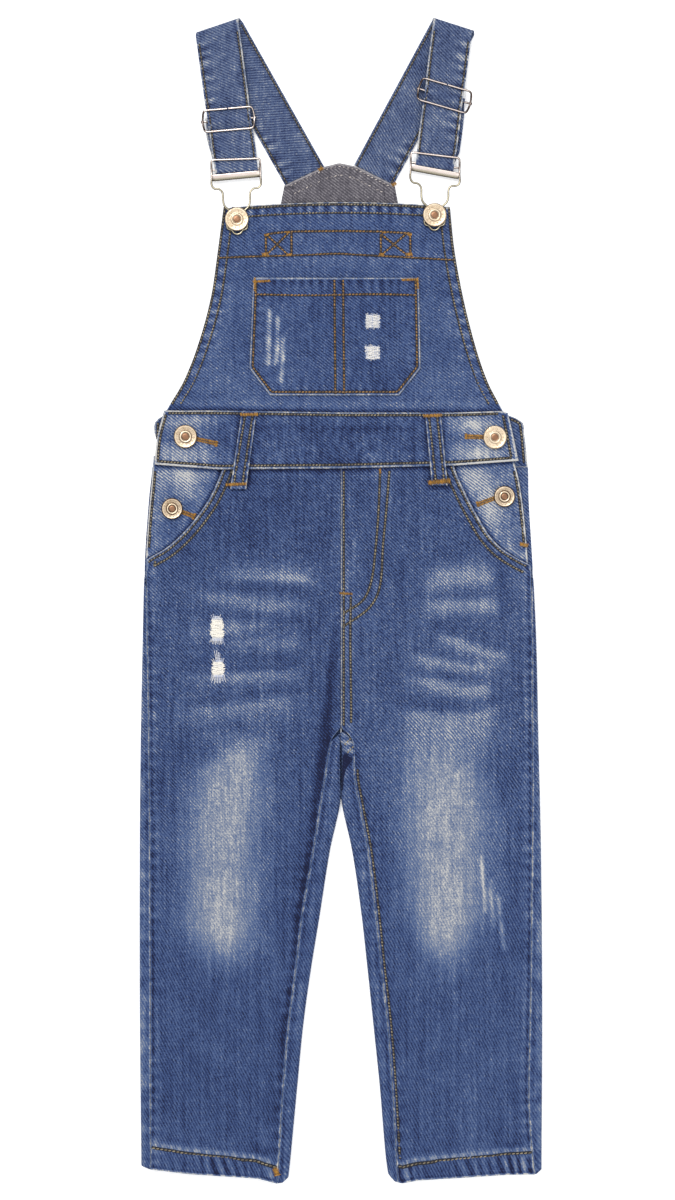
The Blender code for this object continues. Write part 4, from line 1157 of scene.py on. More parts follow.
def front_leg(side, cloth):
    """Front leg panel, from the waistband's seam to the hem."""
    y = leg_ys(1.9)
    outer, inner = seam_x(side, y), inseam_x(side, y)
    x = spread(np.minimum(outer, inner), np.maximum(outer, inner), EDGE_COLUMNS, 74)
    y = np.broadcast_to(y[:, None], x.shape)
    z = front_leg_height(side, x, y)
    from_outer, from_inner = np.abs(x - seam_x(side, y)), np.abs(x - inseam_x(side, y))
    inner_worn = y < CROTCH_Y if side == "left" else y < 200.0
    outer_edge = np.where(y > SIDE_SLIT_Y, 0.7 * from_outer, from_outer + 0.5)
    to_edge = np.minimum(outer_edge, np.where(inner_worn, from_inner + 0.55, 50.0))
    to_edge = np.minimum(to_edge, y - HEM_LEVEL + 0.2)
    piece = panel("front_leg_" + side, x, leg_y(x, y, HEMS[side]), z, DENIM, cloth, "denim",
                  front_leg_fade(side, x, y), to_edge, leg_wales(x, y))


def fold_section(edge, inward, y, roll, seam, curl, shares):
    """Outside of a back leg panel near one side, as in the part but with more points."""
    half = top_height(np.array(edge + inward * max(roll, 0.05)), np.array(y)) / 2
    bow = (roll + half) / 2
    flat = FLAT_SIDE - roll
    end = max(seam - 0.12 - 0.8 * DENIM * max(0.0, 1 - seam / max(roll, seam)), 0.1)
    if end >= roll:
        up = math.pi * bow + end - roll
    else:
        up = bow * (math.pi - math.asin(min(1.0, 1 - end / roll)))
    shrink = (flat + curl * up) / (flat + up)
    run = (flat * 0.5 + (flat * 0.5 + up) * shares) * shrink
    swing = np.clip((run - flat) / bow, 0.0, math.pi)
    x = np.where(run <= flat, edge + inward * (FLAT_SIDE - run),
                 edge + inward * (roll - roll * np.sin(swing)))
    z = np.where(run <= flat, 0.0, half - half * np.cos(swing))
    past = (run - flat) / bow > math.pi
    x_past = edge + inward * (roll + run - flat - math.pi * bow)
    z_past = top_height(x_past, np.full(x_past.shape, y))
    return np.where(past, x_past, x), np.where(past, z_past, z), run / max(run[-1], 1e-6)


def back_leg(side, cloth):
    """Back leg panel, rolled up to the side and the inside-leg seams."""
    sign = SIGN[side]
    shares = np.linspace(0.0, 1.0, 26)
    ys = np.concatenate([steps(96.0, 24.0, 6.0), steps(22.0, -90.0, 2.4)[:-1],
                         steps(-90.0, -130.0, 1.6)[:-1], steps(-130.0, -410.4, 2.6), HEM_ROWS[::-1],
                         [HEM_LEVEL]])
    rows_x, rows_z, rows_fade, rows_edge = [], [], [], []
    for y in ys:
        edge = float(down(BODY, side, y))
        seam = abs(float(down(OUTSEAM, side, y)) - edge)
        curl = float(smooth((SIDE_SLIT_Y - y) / SLIT_CLOSE))
        roll = max(ROLL * curl, 0.01)
        outer_x, outer_z, outer_run = fold_section(edge, -sign, y, roll, seam, curl, shares)
        below = y < CROTCH_Y
        inner_edge = float(down(INSIDE_LEG, side, y)) if below else sign * CENTRE_GAP
        inner_seam = abs(float(inseam_x(side, np.array(y))) - inner_edge) if below else SEAM_GAP
        inner_curl = float(smooth((CROTCH_Y - y) / CROTCH_CLOSE))
        inner_x, inner_z, inner_run = fold_section(inner_edge, sign, y, float(inner_roll(y)),
                                                   inner_seam, inner_curl, shares)
        middle = np.linspace(outer_x[0], inner_x[0], 12)[1:-1]
        row_x = np.concatenate([outer_x[::-1], middle, inner_x])
        row_z = np.concatenate([outer_z[::-1], 0 * middle, inner_z])
        to_seam = np.concatenate([(1 - outer_run[::-1]) * 14 * curl + 30 * (1 - curl) * 0.2,
                                  0 * middle + 30,
                                  (1 - inner_run) * 14 + 30 * (1 - inner_curl)])
        crest = np.concatenate([bell(outer_run[::-1] - 0.72, 0.10) * curl,
                                0 * middle,
                                bell(inner_run - 0.78, 0.10) * inner_curl])
        rows_x.append(row_x)
        rows_z.append(row_z)
        rows_edge.append(to_seam + 0.9)
        rows_fade.append(0.07 * crest + np.concatenate([0.14 * (outer_run[::-1] > 0.4), 0 * middle,
                                                        0.03 * (inner_run > 0.4)]))
    x, z, edge = np.array(rows_x), np.array(rows_z), np.array(rows_edge)
    fade = np.array(rows_fade)
    y = np.broadcast_to(ys[:, None], x.shape)
    fade = fade * (1 + noise(x, y, 8.0, 6.0, 31))
    calm = smooth((-120.0 - y) / 60.0)
    fade = fade + light_and_dark(pucker(edge, y, 32, 8.0, 9.0), 0.05, 0.04) * (z > 1.5) * calm
    # A dark patch beside the crotch knot: painted shade.
    fade = fade - 0.30 * np.exp(-((x - 4.6) / 4.2) ** 2 - ((y + 115.0) / 5.0) ** 2)
    fade = fade + 0.12 * np.exp(-((x + 2.6) / 2.2) ** 2 - ((y + 99.5) / 4.0) ** 2)
    z = z + np.where(z > 2.0, 0.18 * pucker(edge, y, 32, 8.0, 9.0), 0.0)
    z = np.maximum(z, 0.0)
    if side == "left":
        x, y, z, edge, fade = (a[:, ::-1] for a in (x, y, z, edge, fade))
    piece = panel("back_leg_" + side, x, leg_y(x, y, HEMS[side]), z, DENIM, cloth, "denim",
                  fade, edge, leg_wales(x, y))
    return piece


FACING_WEAR = table(WEAR, """
    -121 94 -106 88 10 0.26
    -116 91 -107 90 5 0.12
    -112 80 -104 74 9 0.12
    -136 90 -130 60 6.5 0.16
    -128 52 -116 42 8 -0.1
    88 97 99 80 9 0.24
    99 82 111 58 8.5 0.26
    104 64 116 46 6 0.14
    126 84 132 52 7 -0.08
    104 90 122 90 6 0.1
    118 44 130 26 6 0.12""")


def pocket_facing(side, cloth):
    """Pale side facing seen in the scoop pocket."""
    sign = SIGN[side]
    y = steps(104.0, 25.5, 1.8)
    outer = down(FACING_EDGE, side, y)
    inner = down(SCOOP, side, y) - sign * 7.0
    x = spread(np.minimum(outer, inner), np.maximum(outer, inner), (0.0, 0.3, 0.8, 1.6), 26)
    y = np.broadcast_to(y[:, None], x.shape)
    from_edge = sign * (down(FACING_EDGE, side, y) - x)
    z = facing_height(x, y) - edge_round(from_edge, 0.5) + 0.12 * pucker(from_edge, y, 41, 6.0, 8.0)
    fade = 0.08 * noise(x, y, 14.0, 10.0, 42)
    fade = fade + light_and_dark(pucker(from_edge, y, 41, 5.0, 8.0), 0.12, 0.1)
    fade = fade + worn(FACING_WEAR, x, y)
    # Painted shadow under the front panel's scoop edge and under the waistband.
    under_front = sign * (x - seam_x(side, y))
    fade = fade - 0.50 * bell(np.maximum(under_front, 0.0), 2.2)
    fade = fade - 0.40 * bell(side_to_side(BAND_BOTTOM, x) - y, 1.9)
    piece = panel("pocket_facing_" + side, x, y, z, DENIM, cloth, "denim_faded", fade, from_edge)


# ---------------------------------------------------------------- bib and waist
BIB_WEAR = table(WEAR, """
    -60 243 55 245 5 0.07
    -98 160 -60 150 10 0.1
    60 152 92 165 10 0.1
    -85 215 -92 180 7 0.08
    76 215 86 180 7 0.08
    -40 212 30 190 26 0.04""")
YOKE_SEAM = table("x y", "-90 246.3, -1.9 249.3, 82 244.8")


def bib_edges(x, y):
    side = np.minimum(x - down(BIB, "left", y), down(BIB, "right", y) - x)
    return side, bib_top(x) - y


def bib_detail(x, y):
    """Raised and gathered cloth on the bib: (height, fade)."""
    side, top = bib_edges(x, y)
    rope_top = pucker(np.abs(top - 0.5 * BIB_HEM), x, 51, 6.5, 7.5)
    rope_side = pucker(np.abs(side - 0.5 * BIB_HEM), y, 52, 6.5, 9.0)
    from_seam = side_to_side(YOKE_SEAM, x) - y
    gather = pucker(np.abs(from_seam), x, 53, 5.0, 6.5)
    height = 0.16 * rope_top + 0.14 * rope_side + 0.10 * gather
    height = height + 0.30 * bell(from_seam + 1.2, 1.6)
    height = height - edge_round(side) - edge_round(top)
    fade = light_and_dark(rope_top, 0.20, 0.17) + light_and_dark(rope_side, 0.16, 0.13)
    fade = fade + light_and_dark(gather, 0.10, 0.06)
    fade = fade - 0.12 * bell(from_seam - 0.6, 0.7)
    fade = fade - 0.10 * bell(side - BIB_HEM - 0.6, 0.8)
    fade = fade - 0.10 * bell(top - BIB_HEM - 0.6, 0.8)
    # A dark line just above the waistband's top edge is painted shade; a lighter band lies above
    # it.
    above_band = y - side_to_side(BAND_TOP, x)
    fade = fade - 0.34 * bell(above_band - 0.4, 1.5) + 0.12 * bell(above_band - 5.5, 2.6)
    return height, fade + worn(BIB_WEAR, x, y)


def bib_surface(x, y):
    return bib_height(x, y) + bib_detail(x, y)[0]


def front_bib(cloth):
    """Bib with its hemmed top and sides."""
    ys = np.concatenate([[286.0, 285.7, 285.2, 284.4], steps(283.4, 131.4, 1.7)])
    x = spread(down(BIB, "left", ys), down(BIB, "right", ys), EDGE_COLUMNS, 104)
    y = np.broadcast_to(ys[:, None], x.shape)
    y = y + (bib_top(x) - 286.0) * smooth((y - 230.0) / 50.0)
    side, top = bib_edges(x, y)
    detail, fade = bib_detail(x, y)
    piece = panel("front_bib", x, y, bib_height(x, y) + detail, DENIM, cloth, "denim",
                  fade, np.minimum(side + 0.6, 0.8 * top))


POCKET_OUTLINE = ((-63.1, 231.6), (-65.8, 166.8), (-51.1, 147.2), (41.6, 147.2), (57.2, 166.8),
                  (56.0, 231.9), (-63.1, 231.6))
POCKET_TOP = 231.8
POCKET_HEM = 12.2
POCKET_SCRATCHES = (
    Scratch(((-51.1, 212.5), (-51.6, 190.0), (-52.6, 167.0)), 1.8, 0.60),
    Scratch(((-45.4, 206.5), (-45.6, 186.0), (-46.8, 166.5)), 1.7, 0.54),
    Scratch(((-41.0, 193.0), (-41.6, 173.2), (-43.8, 154.5)), 1.7, 0.54),
)
POCKET_RIPS = table("x y half_x half_y", """
    22.8 200.6 5.2 4.9
    22.6 178 5.2 4.9""")


def in_rip(rips, x, y):
    """1 inside a rip, 0 outside it, with a ragged soft rim."""
    inside = np.zeros(np.broadcast(x, y).shape)
    for rip in rips:
        across = rip.half_x + 0.7 * noise(y, y, 1.6, 9.0, rip.x) - np.abs(x - rip.x)
        up = rip.half_y + 0.5 * noise(x, x, 1.6, 9.0, rip.y) - np.abs(y - rip.y)
        inside = np.maximum(inside, smooth(np.minimum(across, up) / 1.2 + 0.5))
    return inside


def pocket_detail(x, y):
    away, at = to_path(x, y, POCKET_OUTLINE)
    rope = pucker(np.abs(away - 2.5), at, 61, 5.0, 7.0)
    hem = smooth((POCKET_HEM - (POCKET_TOP - y)) / 1.2 + 0.5)
    hem_rope = pucker(np.abs(POCKET_TOP - y - POCKET_HEM), x, 62, 4.0, 6.0)
    rip = in_rip(POCKET_RIPS, x, y)
    height = 0.13 * rope + 0.30 * hem + 0.10 * hem_rope - edge_round(away) - 0.75 * rip
    fade = light_and_dark(rope, 0.11, 0.10) * smooth((away - 0.6) / 1.5)
    fade = fade + light_and_dark(hem_rope, 0.08, 0.08)
    fade = fade - 0.12 * bell(away - 3.6, 0.7)
    fade = fade - 0.10 * bell(POCKET_TOP - y - POCKET_HEM - 0.6, 0.7)
    wider = [r._replace(half_x=r.half_x + 3, half_y=r.half_y + 3) for r in POCKET_RIPS]
    fade = fade + 0.55 * rip
    fade = fade - 0.05 * in_rip(wider, x, y) + 0.04 * noise(x, y, 18.0, 14.0, 63)
    return height, fade + scratched(POCKET_SCRATCHES, x, y), away


def pocket_surface(x, y):
    return pocket_height(x, y) + pocket_detail(x, y)[0]


def bib_pocket(cloth):
    """Patch pocket on the bib."""
    ys = np.concatenate([[231.8, 231.5, 231.0, 230.2], steps(229.0, 149.4, 1.35),
                         [148.6, 147.9, 147.5, 147.2]])
    x = spread(straight_down(POCKET, "left", ys), straight_down(POCKET, "right", ys),
               (0.0, 0.3, 0.8, 1.5), 84)
    y = np.broadcast_to(ys[:, None], x.shape)
    detail, fade, away = pocket_detail(x, y)
    piece = panel("bib_pocket", x, y, pocket_height(x, y) + detail, DENIM, cloth, "denim", fade,
                  away + 0.1)


BAND_WEAR = table(WEAR, """
    -134 127.5 -98 127.5 7.5 0.3
    -132 106.2 -102 105.5 8.5 0.46
    -98 103.5 -87.5 103 6 0.18
    78 127 110 126 8.5 0.44
    88.5 126 100 126.5 4.4 0.24
    82 105.6 116 105 8 0.58
    96 117 120 117 7 0.16
    0.5 103 7 102.6 2.8 0.19
    20.4 108 20.6 99.5 2.1 0.19
    36.2 107 36.2 99.5 1.6 0.18
    43.2 106 43.4 99.5 1.6 0.16
    49.7 106 49.9 99.5 1.7 0.16
    58.3 107 58.5 100 1.8 0.15
    -50 104 -44 103 2.6 0.14
    -39 108 -38.6 100 1.8 0.14
    -30 106 -27 101 2.2 0.14
    -17 107 -16.6 100 2 0.14
    -45 131 -38 129 2.6 0.1
    -20 131 -14 129 2.8 0.1
    -4 123.6 57 123.4 1.5 -0.09
    -14 101 8 96 7.5 -0.16
    -118 131 -82 130 6 0.16
    -122 99.5 -104 98.5 5.5 0.2
    100 98 126 98.5 5.5 0.24
    -60 124 44 122 2.6 -0.1""")


def loop_shadow(x, y):
    """Painted shadow of the belt loops on the cloth right beside them, 0 to 1."""
    share = np.zeros(np.broadcast(x, y).shape)
    for loop in LOOPS:
        down_share = (loop.top_y - y) / (loop.top_y - loop.low_y)
        middle = mix((loop.top_x1 + loop.top_x2) / 2, (loop.low_x1 + loop.low_x2) / 2, down_share)
        half = (loop.top_x2 - loop.top_x1) / 2
        share = np.maximum(share, bell(np.maximum(np.abs(x - middle) - half, 0.0), 3.0))
    return share


def band_detail(x, y):
    top = side_to_side(BAND_TOP, x) - y
    low = y - side_to_side(BAND_BOTTOM, x)
    left = x - down(BAND_ENDS, "left", y)
    right = down(BAND_ENDS, "right", y) - x
    rope_top = pucker(top, x, 71, 5.0, 7.0)
    rope_low = pucker(low, x, 72, 6.0, 7.5)
    ends = np.minimum(left, right)
    edge = np.minimum(np.minimum(top, low), ends)
    height = 0.14 * rope_top + 0.18 * rope_low + 0.12 * pucker(ends, y, 73, 6.0, 8.0)
    height = height - edge_round(edge)
    height = height + 0.12 * noise(x, y, 40.0, 20.0, 74)
    fade = light_and_dark(rope_top, 0.10, 0.12) + light_and_dark(rope_low, 0.16, 0.15)
    fade = fade * smooth((edge - 0.6) / 1.6)
    fade = fade + 0.06 * bell(ends, 13.0) * (1 + 0.7 * noise(x, y, 7.0, 9.0, 75))
    fade = fade + worn(BAND_WEAR, x, y) - 0.16 * loop_shadow(x, y)
    fade = fade - 0.12 * bell(low - 2.6, 0.8) - 0.08 * bell(top - 2.0, 0.8)
    return height, fade, 0.8 * np.minimum(np.minimum(low, ends), top + 0.3), top


def band_surface(x, y):
    return band_height(x, y) + band_detail(x, y)[0]


def front_waistband(cloth):
    """Band between the bib and the front legs."""
    shares = np.concatenate([[1.0, 0.992, 0.98, 0.962], steps(0.94, 0.06, 0.04),
                             [0.038, 0.02, 0.008, 0.0]])
    y_middle = mix(97.6, 136.4, shares)
    left, right = down(BAND_ENDS, "left", y_middle), down(BAND_ENDS, "right", y_middle)
    x = spread(left, right, EDGE_COLUMNS, 150)
    share = np.broadcast_to(shares[:, None], x.shape)
    y = mix(side_to_side(BAND_BOTTOM, x), side_to_side(BAND_TOP, x), share)
    detail, fade, edge, _ = band_detail(x, y)
    piece = panel("front_waistband", x, y, band_height(x, y) + detail, BAND, cloth, "denim",
                  fade, edge)


def back_waistband(cloth):
    """The back's band, whose rounded ends show at both sides."""
    ys = np.concatenate([[133.5, 133.1, 132.4], steps(131.0, 96.4, 3.0)])
    low, high = down(BACK_BAND, "left", ys), down(BACK_BAND, "right", ys)
    x = spread(low, high, (0.0, 0.4, 1.2, 3.0, 6.0), 30)[:, ::-1]
    y = np.broadcast_to(ys[:, None], x.shape)
    fade = 0.10 + 0.07 * noise(x, y, 4, 6, 81)
    edge = np.minimum(x - low[:, None], high[:, None] - x)
    piece = panel("back_waistband", x, y, 0 * x, BAND, cloth, "denim", fade, edge)


def back_bib(cloth):
    """Back bib, whose grey inside face shows as the yoke."""
    ys = np.concatenate([[300.0], steps(298.0, 270.0, 2.0), steps(266.0, 133.9, 6.0)])
    shares = np.linspace(0.0, 1.0, 45)[None, :]
    left, right = down(BACK_BIB, "left", ys)[:, None], down(BACK_BIB, "right", ys)[:, None]
    x = mix(right, left, shares)
    rise = side_to_side(BACK_BIB_TOP, x) - 300.0
    y = np.broadcast_to(ys[:, None], x.shape)
    y = y + rise * smooth((y - 268.0) / 32.0)
    away, at = to_path(x, y, [(p.x, p.y) for p in BACK_BIB_TOP])
    fade = light_and_dark(pucker(np.abs(away - 5.0), at, 91, 6.0, 6.0), 0.06, 0.06)
    piece = panel("back_bib", x, y, 0 * x, DENIM, cloth, "denim_inside", fade, away)


Loop = namedtuple("Loop", "side top_x1 top_x2 top_y low_x1 low_x2 low_y")
LOOPS = (
    Loop("left", -71.4, -60.5, 135.0, -79.6, -68.0, 79.8),
    Loop("right", 60.2, 71.6, 134.0, 65.2, 76.6, 82.6),
)


def loop_height(x, y):
    on_band = smooth((y - 82.5) / 8.0)
    return top_height(x, y) + GAP + BAND + on_band * (GAP + BAND)


def loop_surface(x, y):
    return loop_height(x, y) + 0.10


def belt_loop(loop, cloth):
    share = np.linspace(0.0, 1.0, 52)
    y = mix(loop.top_y, loop.low_y, share)
    x = spread(mix(loop.top_x1, loop.low_x1, share), mix(loop.top_x2, loop.low_x2, share),
               (0.0, 0.3, 0.8, 1.6), 8)
    edge = np.minimum(x - x[:, :1], x[:, -1:] - x)
    y = np.broadcast_to(y[:, None], x.shape)
    ends = np.minimum(loop.top_y - y, y - loop.low_y)
    z = loop_height(x, y) + 0.18 * bell(edge - 2.4, 1.6) - edge_round(edge)
    z = z - 0.35 * bell(ends - 3.0, 1.6) + 0.10 * pucker(edge, y, 95, 4.0, 7.0)
    fade = light_and_dark(pucker(edge, y, 95, 4.0, 7.0), 0.13, 0.13) - 0.12 * bell(edge - 2.6, 0.7)
    fade = fade + 0.30 * bell(y - loop.low_y - 1.2, 1.3)
    piece = panel("belt_loop_" + loop.side, x, y, z, BAND, cloth, "denim", fade, edge + 0.35)


# ---------------------------------------------------------------- straps
StrapLie = namedtuple("StrapLie", "side low_x low_y fold_x fold_y fold_slope slider_y width_front "
                      "width_back shift_back slider_tilt buckle_tilt lift_from end_1 end_2")
STRAPS = (
    StrapLie("left", -75.2, 309.6, -89.4, 413.4, 18.6, 345.3, 31.8, 31.0, 2.0, 5.0, 3.0, 24.0,
             (-40.7, 298.8), (-13.0, 311.8)),
    StrapLie("right", 67.4, 312.6, 80.4, 414.6, -17.8, 362.3, 28.6, 31.6, 1.6, -16.2, -8.0, 12.0,
             (38.7, 298.7), (12.0, 312.1)),
)
BUCKLE_BAR_Z = 3.4
SLIDER_BAR_Z = 4.4
ROUND_BAR = WIRE + GAP + STRAP / 2
UPPER_Z = 5.0
SLIDER_PINCH = 0.8
BUCKLE_PINCH = 1.2
RETURN_SHIFT = 2.3             # the layer below peeks out at the strap's outer edge
FOLD_Z = 4.6
UNDER_Z = SLIDER_BAR_Z - ROUND_BAR
HUMP = ((-6.8, 0.0), (-4.4, 1.2), (-2.2, 2.9), (0.0, 3.3), (2.2, 2.9), (4.4, 1.2), (6.8, 0.0))


def turn(centre_s, centre_z, radius, first, last, count):
    angles = np.radians(np.linspace(first, last, count + 1))
    return [(centre_s + radius * math.cos(a), centre_z + radius * math.sin(a)) for a in angles]


def strap_grid(lie):
    """The strap's middle surface: rows of points, and the row where each run starts."""
    low, fold = np.array((lie.low_x, lie.low_y)), np.array((lie.fold_x, lie.fold_y))
    along = (fold - low) / np.linalg.norm(fold - low)
    across = np.array((along[1], -along[0]))
    slope = math.radians(lie.fold_slope)
    outward = np.array((-math.sin(slope), math.cos(slope)))
    fold_radius = (FOLD_Z - STRAP / 2) / 2
    crest = fold - outward * (fold_radius + STRAP / 2)
    facing = along @ outward
    fold_s = (crest - low) @ outward / facing
    slider_s = (lie.slider_y - lie.low_y) / along[1]
    lean = math.degrees(math.atan2(across[1], across[0]))
    skew_s = (-3.0, 8.0, slider_s - 9.0, slider_s + 9.0, fold_s - 6.0)
    skew_tilt = (lie.buckle_tilt, lie.buckle_tilt, lie.slider_tilt, lie.slider_tilt, lie.fold_slope)
    skews = [math.tan(math.radians(tilt - lean)) for tilt in skew_tilt]
    shares = np.concatenate([[0.0, 0.01, 0.03, 0.055, 0.09], np.linspace(0.14, 0.86, 13),
                             [0.91, 0.945, 0.97, 0.99, 1.0]]) - 0.5

    section = turn(slider_s, SLIDER_BAR_Z, ROUND_BAR, 95, -90, 12)
    section += [(s, UNDER_Z) for s in steps(slider_s - 4.0, lie.lift_from, 2.5)]
    low_z = BUCKLE_BAR_Z - ROUND_BAR
    section += [(4.0, low_z), (2.0, low_z)] + turn(0.0, BUCKLE_BAR_Z, ROUND_BAR, 270, 90, 12)
    loop_end = len(section)
    section += [(2.0, mix(BUCKLE_BAR_Z + ROUND_BAR, UPPER_Z, 0.6)), (4.0, UPPER_Z)]
    section += [(s, UPPER_Z) for s in steps(6.0, slider_s - 9.0, 1.5)]
    hump_s = steps(-7.5, 7.5, 0.6)
    hump = np.interp(hump_s, [h[0] for h in HUMP], [h[1] for h in HUMP])
    hump = np.convolve(np.pad(hump, 2, mode="edge"), [0.1, 0.2, 0.4, 0.2, 0.1], mode="valid")
    section += [(slider_s + s, UPPER_Z + rise) for s, rise in zip(hump_s, hump)]
    section += [(s, mix(UPPER_Z, FOLD_Z, smooth((s - slider_s - 8) / 12)))
                for s in steps(slider_s + 9.0, fold_s - 5.0, 1.5)]
    rows = []
    sign = SIGN[lie.side]
    for k, (s, z) in enumerate(section):
        skew = np.interp(s, skew_s, skews)
        pinch = SLIDER_PINCH * math.exp(-((s - slider_s) / 11.0) ** 2)
        pinch += BUCKLE_PINCH * math.exp(-(s / 9.0) ** 2)
        t = shares * (lie.width_front - pinch)
        if k < loop_end:
            back = 1 - 0.35 * smooth((s - slider_s + 9) / 8)
            t = t + sign * RETURN_SHIFT * smooth((s - 3.0) / 10.0) * back
        rows.append(np.column_stack([low[None] + along[None] * (s + skew * t)[:, None]
                                     + across[None] * t[:, None], np.full(t.shape, z)]))
    bend_length = math.pi * fold_radius
    k = math.tan(math.radians(lie.fold_slope - lean))

    def past_fold(s, t):
        t = t + lie.shift_back * min(s / bend_length, 1.0)
        flat = low[None] + along[None] * (fold_s + k * t)[:, None] + across[None] * t[:, None]
        place = flat + along[None] * s / facing
        if s < bend_length:
            swing = s / fold_radius
            place = place - outward[None] * (s - fold_radius * math.sin(swing))
            return place, fold_radius * (1 + math.cos(swing)) + STRAP / 2
        return place - outward[None] * (2 * s - bend_length), STRAP / 2

    fold_row = len(rows)
    for s in np.linspace(0.0, bend_length, 14):
        place, z = past_fold(s, shares * mix(lie.width_front, lie.width_back, s / bend_length))
        rows.append(np.column_stack([place, np.full(len(place), z)]))
    edge = np.array(lie.end_2) - np.array(lie.end_1)
    edge_out = np.array((-edge[1], edge[0])) / np.linalg.norm(edge)
    if edge_out[1] < 0:
        edge_out = -edge_out
    stop = np.array(lie.end_1) + edge_out * 0.1
    start_place, _ = past_fold(bend_length, shares * lie.width_back)
    next_place, _ = past_fold(bend_length + 1.0, shares * lie.width_back)
    run = next_place - start_place
    run = run / np.linalg.norm(run, axis=1)[:, None]
    reach = ((stop[None] - start_place) @ edge_out) / (run @ edge_out)
    back_row = len(rows)
    for share in np.linspace(0.0, 1.0, 62)[1:]:
        place = start_place + run * (reach * share)[:, None]
        rows.append(np.column_stack([place, np.full(len(place), STRAP / 2)]))
    grid = np.array(rows)
    return grid, shares, loop_end, fold_row, back_row


def row_lengths(grid):
    """Length along a band's middle up to each row."""
    paces = np.linalg.norm(np.diff(grid.mean(axis=1), axis=0), axis=1)
    return np.concatenate([[0.0], np.cumsum(paces)])


EdgeWear = namedtuple("EdgeWear", "side run edge y_low y_high")
WORN_EDGES = (                   # where a strap's edge is worn to a light line
    EdgeWear("left", "front", 1, 349.0, 420.0),
    EdgeWear("left", "front", -1, 300.0, 343.0),
    EdgeWear("left", "under", -1, 300.0, 352.0),
    EdgeWear("right", "front", -1, 366.0, 420.0),
    EdgeWear("right", "front", -1, 310.0, 358.0),
    EdgeWear("right", "front", 1, 310.0, 374.0),
)
BLOCK_EDGES = (                  # where it is gathered into strong light and dark blocks
    EdgeWear("left", "front", -1, 352.0, 408.0),
    EdgeWear("right", "front", 1, 330.0, 404.0),
    EdgeWear("left", "back", -1, 296.0, 346.0),
    EdgeWear("right", "back", 1, 296.0, 330.0),
)


def edge_share(rows, lie, run, edge_sign, y):
    """1 where one of the rows names this edge at this height."""
    share = np.zeros(y.shape)
    for w in rows:
        if w.side == lie.side and w.run == run:
            here = smooth((y - w.y_low) / 4.0) * smooth((w.y_high - y) / 4.0)
            share = np.maximum(share, here * (edge_sign == w.edge))
    return share


def strap_detail(lie, grid, shares, runs):
    """Soft bowing of the strap band and its wear, as (lift, fade, edge)."""
    s = np.broadcast_to(row_lengths(grid)[:, None], grid.shape[:2])
    y = grid[:, :, 1]
    width = lie.width_front
    edge = np.broadcast_to((0.5 - np.abs(shares))[None, :] * width, s.shape)
    edge_sign = np.broadcast_to(np.where(shares < 0, -1, 1)[None, :], s.shape)
    rope = pucker(np.abs(edge - 2.2), s, 101, 4.0, 8.0)
    block = pucker(edge, s, 105, 8.5, 9.0)
    seed = 102 if lie.side == "left" else 104
    fade = light_and_dark(rope, 0.07, 0.07) - 0.11 * bell(edge - 3.2, 0.7)
    fade = fade + 0.09 * noise(s, shares[None, :] * width + 0 * s, 16.0, 12.0, seed)
    worn_edge, lift = np.full(s.shape, 50.0), 0.10 * rope
    for run, rows in runs.items():
        share = edge_share(WORN_EDGES, lie, run, edge_sign[rows], y[rows])
        worn_edge[rows] = np.where(share > 0.5, edge[rows] - 0.2, 50.0)
        strong = edge_share(BLOCK_EDGES, lie, run, edge_sign[rows], y[rows]) * block[rows]
        fade[rows] += light_and_dark(strong, 0.24, 0.19)
        lift[rows] += 0.20 * strong
    return lift, fade, worn_edge


def strap(lie, cloth):
    grid, shares, loop_end, fold_row, back_row = strap_grid(lie)
    runs = {"under": slice(0, loop_end), "front": slice(loop_end, fold_row + 7),
            "back": slice(back_row, None)}
    lift, fade, edge = strap_detail(lie, grid, shares, runs)
    s = row_lengths(grid)
    below_front, below_back = (24.0, -4.0) if lie.side == "left" else (45.0, 58.0)
    wale = across_wales(grid[:, :, 0], grid[:, :, 1], below_front)
    past = grid[fold_row + 6:]
    wale[fold_row + 6:] = across_wales(past[:, :, 0], past[:, :, 1], below_back)
    across = np.gradient(grid, axis=1)
    down_run = np.gradient(grid, axis=0)
    normal = np.cross(across, down_run)
    normal /= np.maximum(np.linalg.norm(normal, axis=2), 1e-9)[:, :, None]
    on_top = np.zeros(grid.shape[:2])
    on_top[loop_end + 4:fold_row - 2] = 1.0
    grid = grid + normal * (lift * on_top)[:, :, None]
    x, y, z = grid[:, :, 0], grid[:, :, 1], grid[:, :, 2]
    piece = panel("strap_" + lie.side, x, y, z, STRAP, cloth, "denim_strap", fade, edge, wale,
                  offset=0.0)
    return grid, shares, (loop_end, fold_row, back_row)


# ---------------------------------------------------------------- wire hardware
Placing = namedtuple("Placing", "x y lean tilt_low tilt_high")
SLIDER_PLACES = {"left": Placing(-80.8, 345.3, -0.07, 5.0, 5.0),
                 "right": Placing(74.3, 362.3, 0.26, -16.2, -16.2)}
BUCKLE_PLACES = {"left": Placing(-74.7, 273.6, -0.022, 0.0, 2.0),
                 "right": Placing(67.2, 276.6, 0.012, 0.0, -7.0)}
# Right half of the slider's frame, from its top middle to its bottom middle.
SLIDER_HALF = table("u v z", """
    0 7.7 7
    10 7.7 7
    15.2 7.7 7
    17.2 6.9 6.9
    18.2 3.5 5.4
    18.5 0 4.8
    18.2 -3.5 5.4
    17.2 -6.9 6.9
    15.2 -7.7 7
    10 -7.7 7
    0 -7.7 7""")
# Right half of the buckle's wire, measured from the button's middle.
BUCKLE_HALF = table("u v z", """
    0 43 7
    10 43 7
    15.4 43 7
    17.1 42.4 6.8
    17.5 40.4 6.2
    17.5 36.2 4.4
    17.5 31 4.4
    17.7 25.2 4.5
    15.8 22.6 4.6
    12.2 22 4.7
    10 19.6 4.8
    9.6 13 5.1
    8.6 9.6 5.25
    5.4 6.2 5.3
    4.2 3.4 5.3
    6 0.2 5.3
    7.3 -3.6 5.3
    6.6 -6.6 5.3
    4 -7.6 5.3
    2.3 -9.7 5.3
    0 -10.6 5.3""")


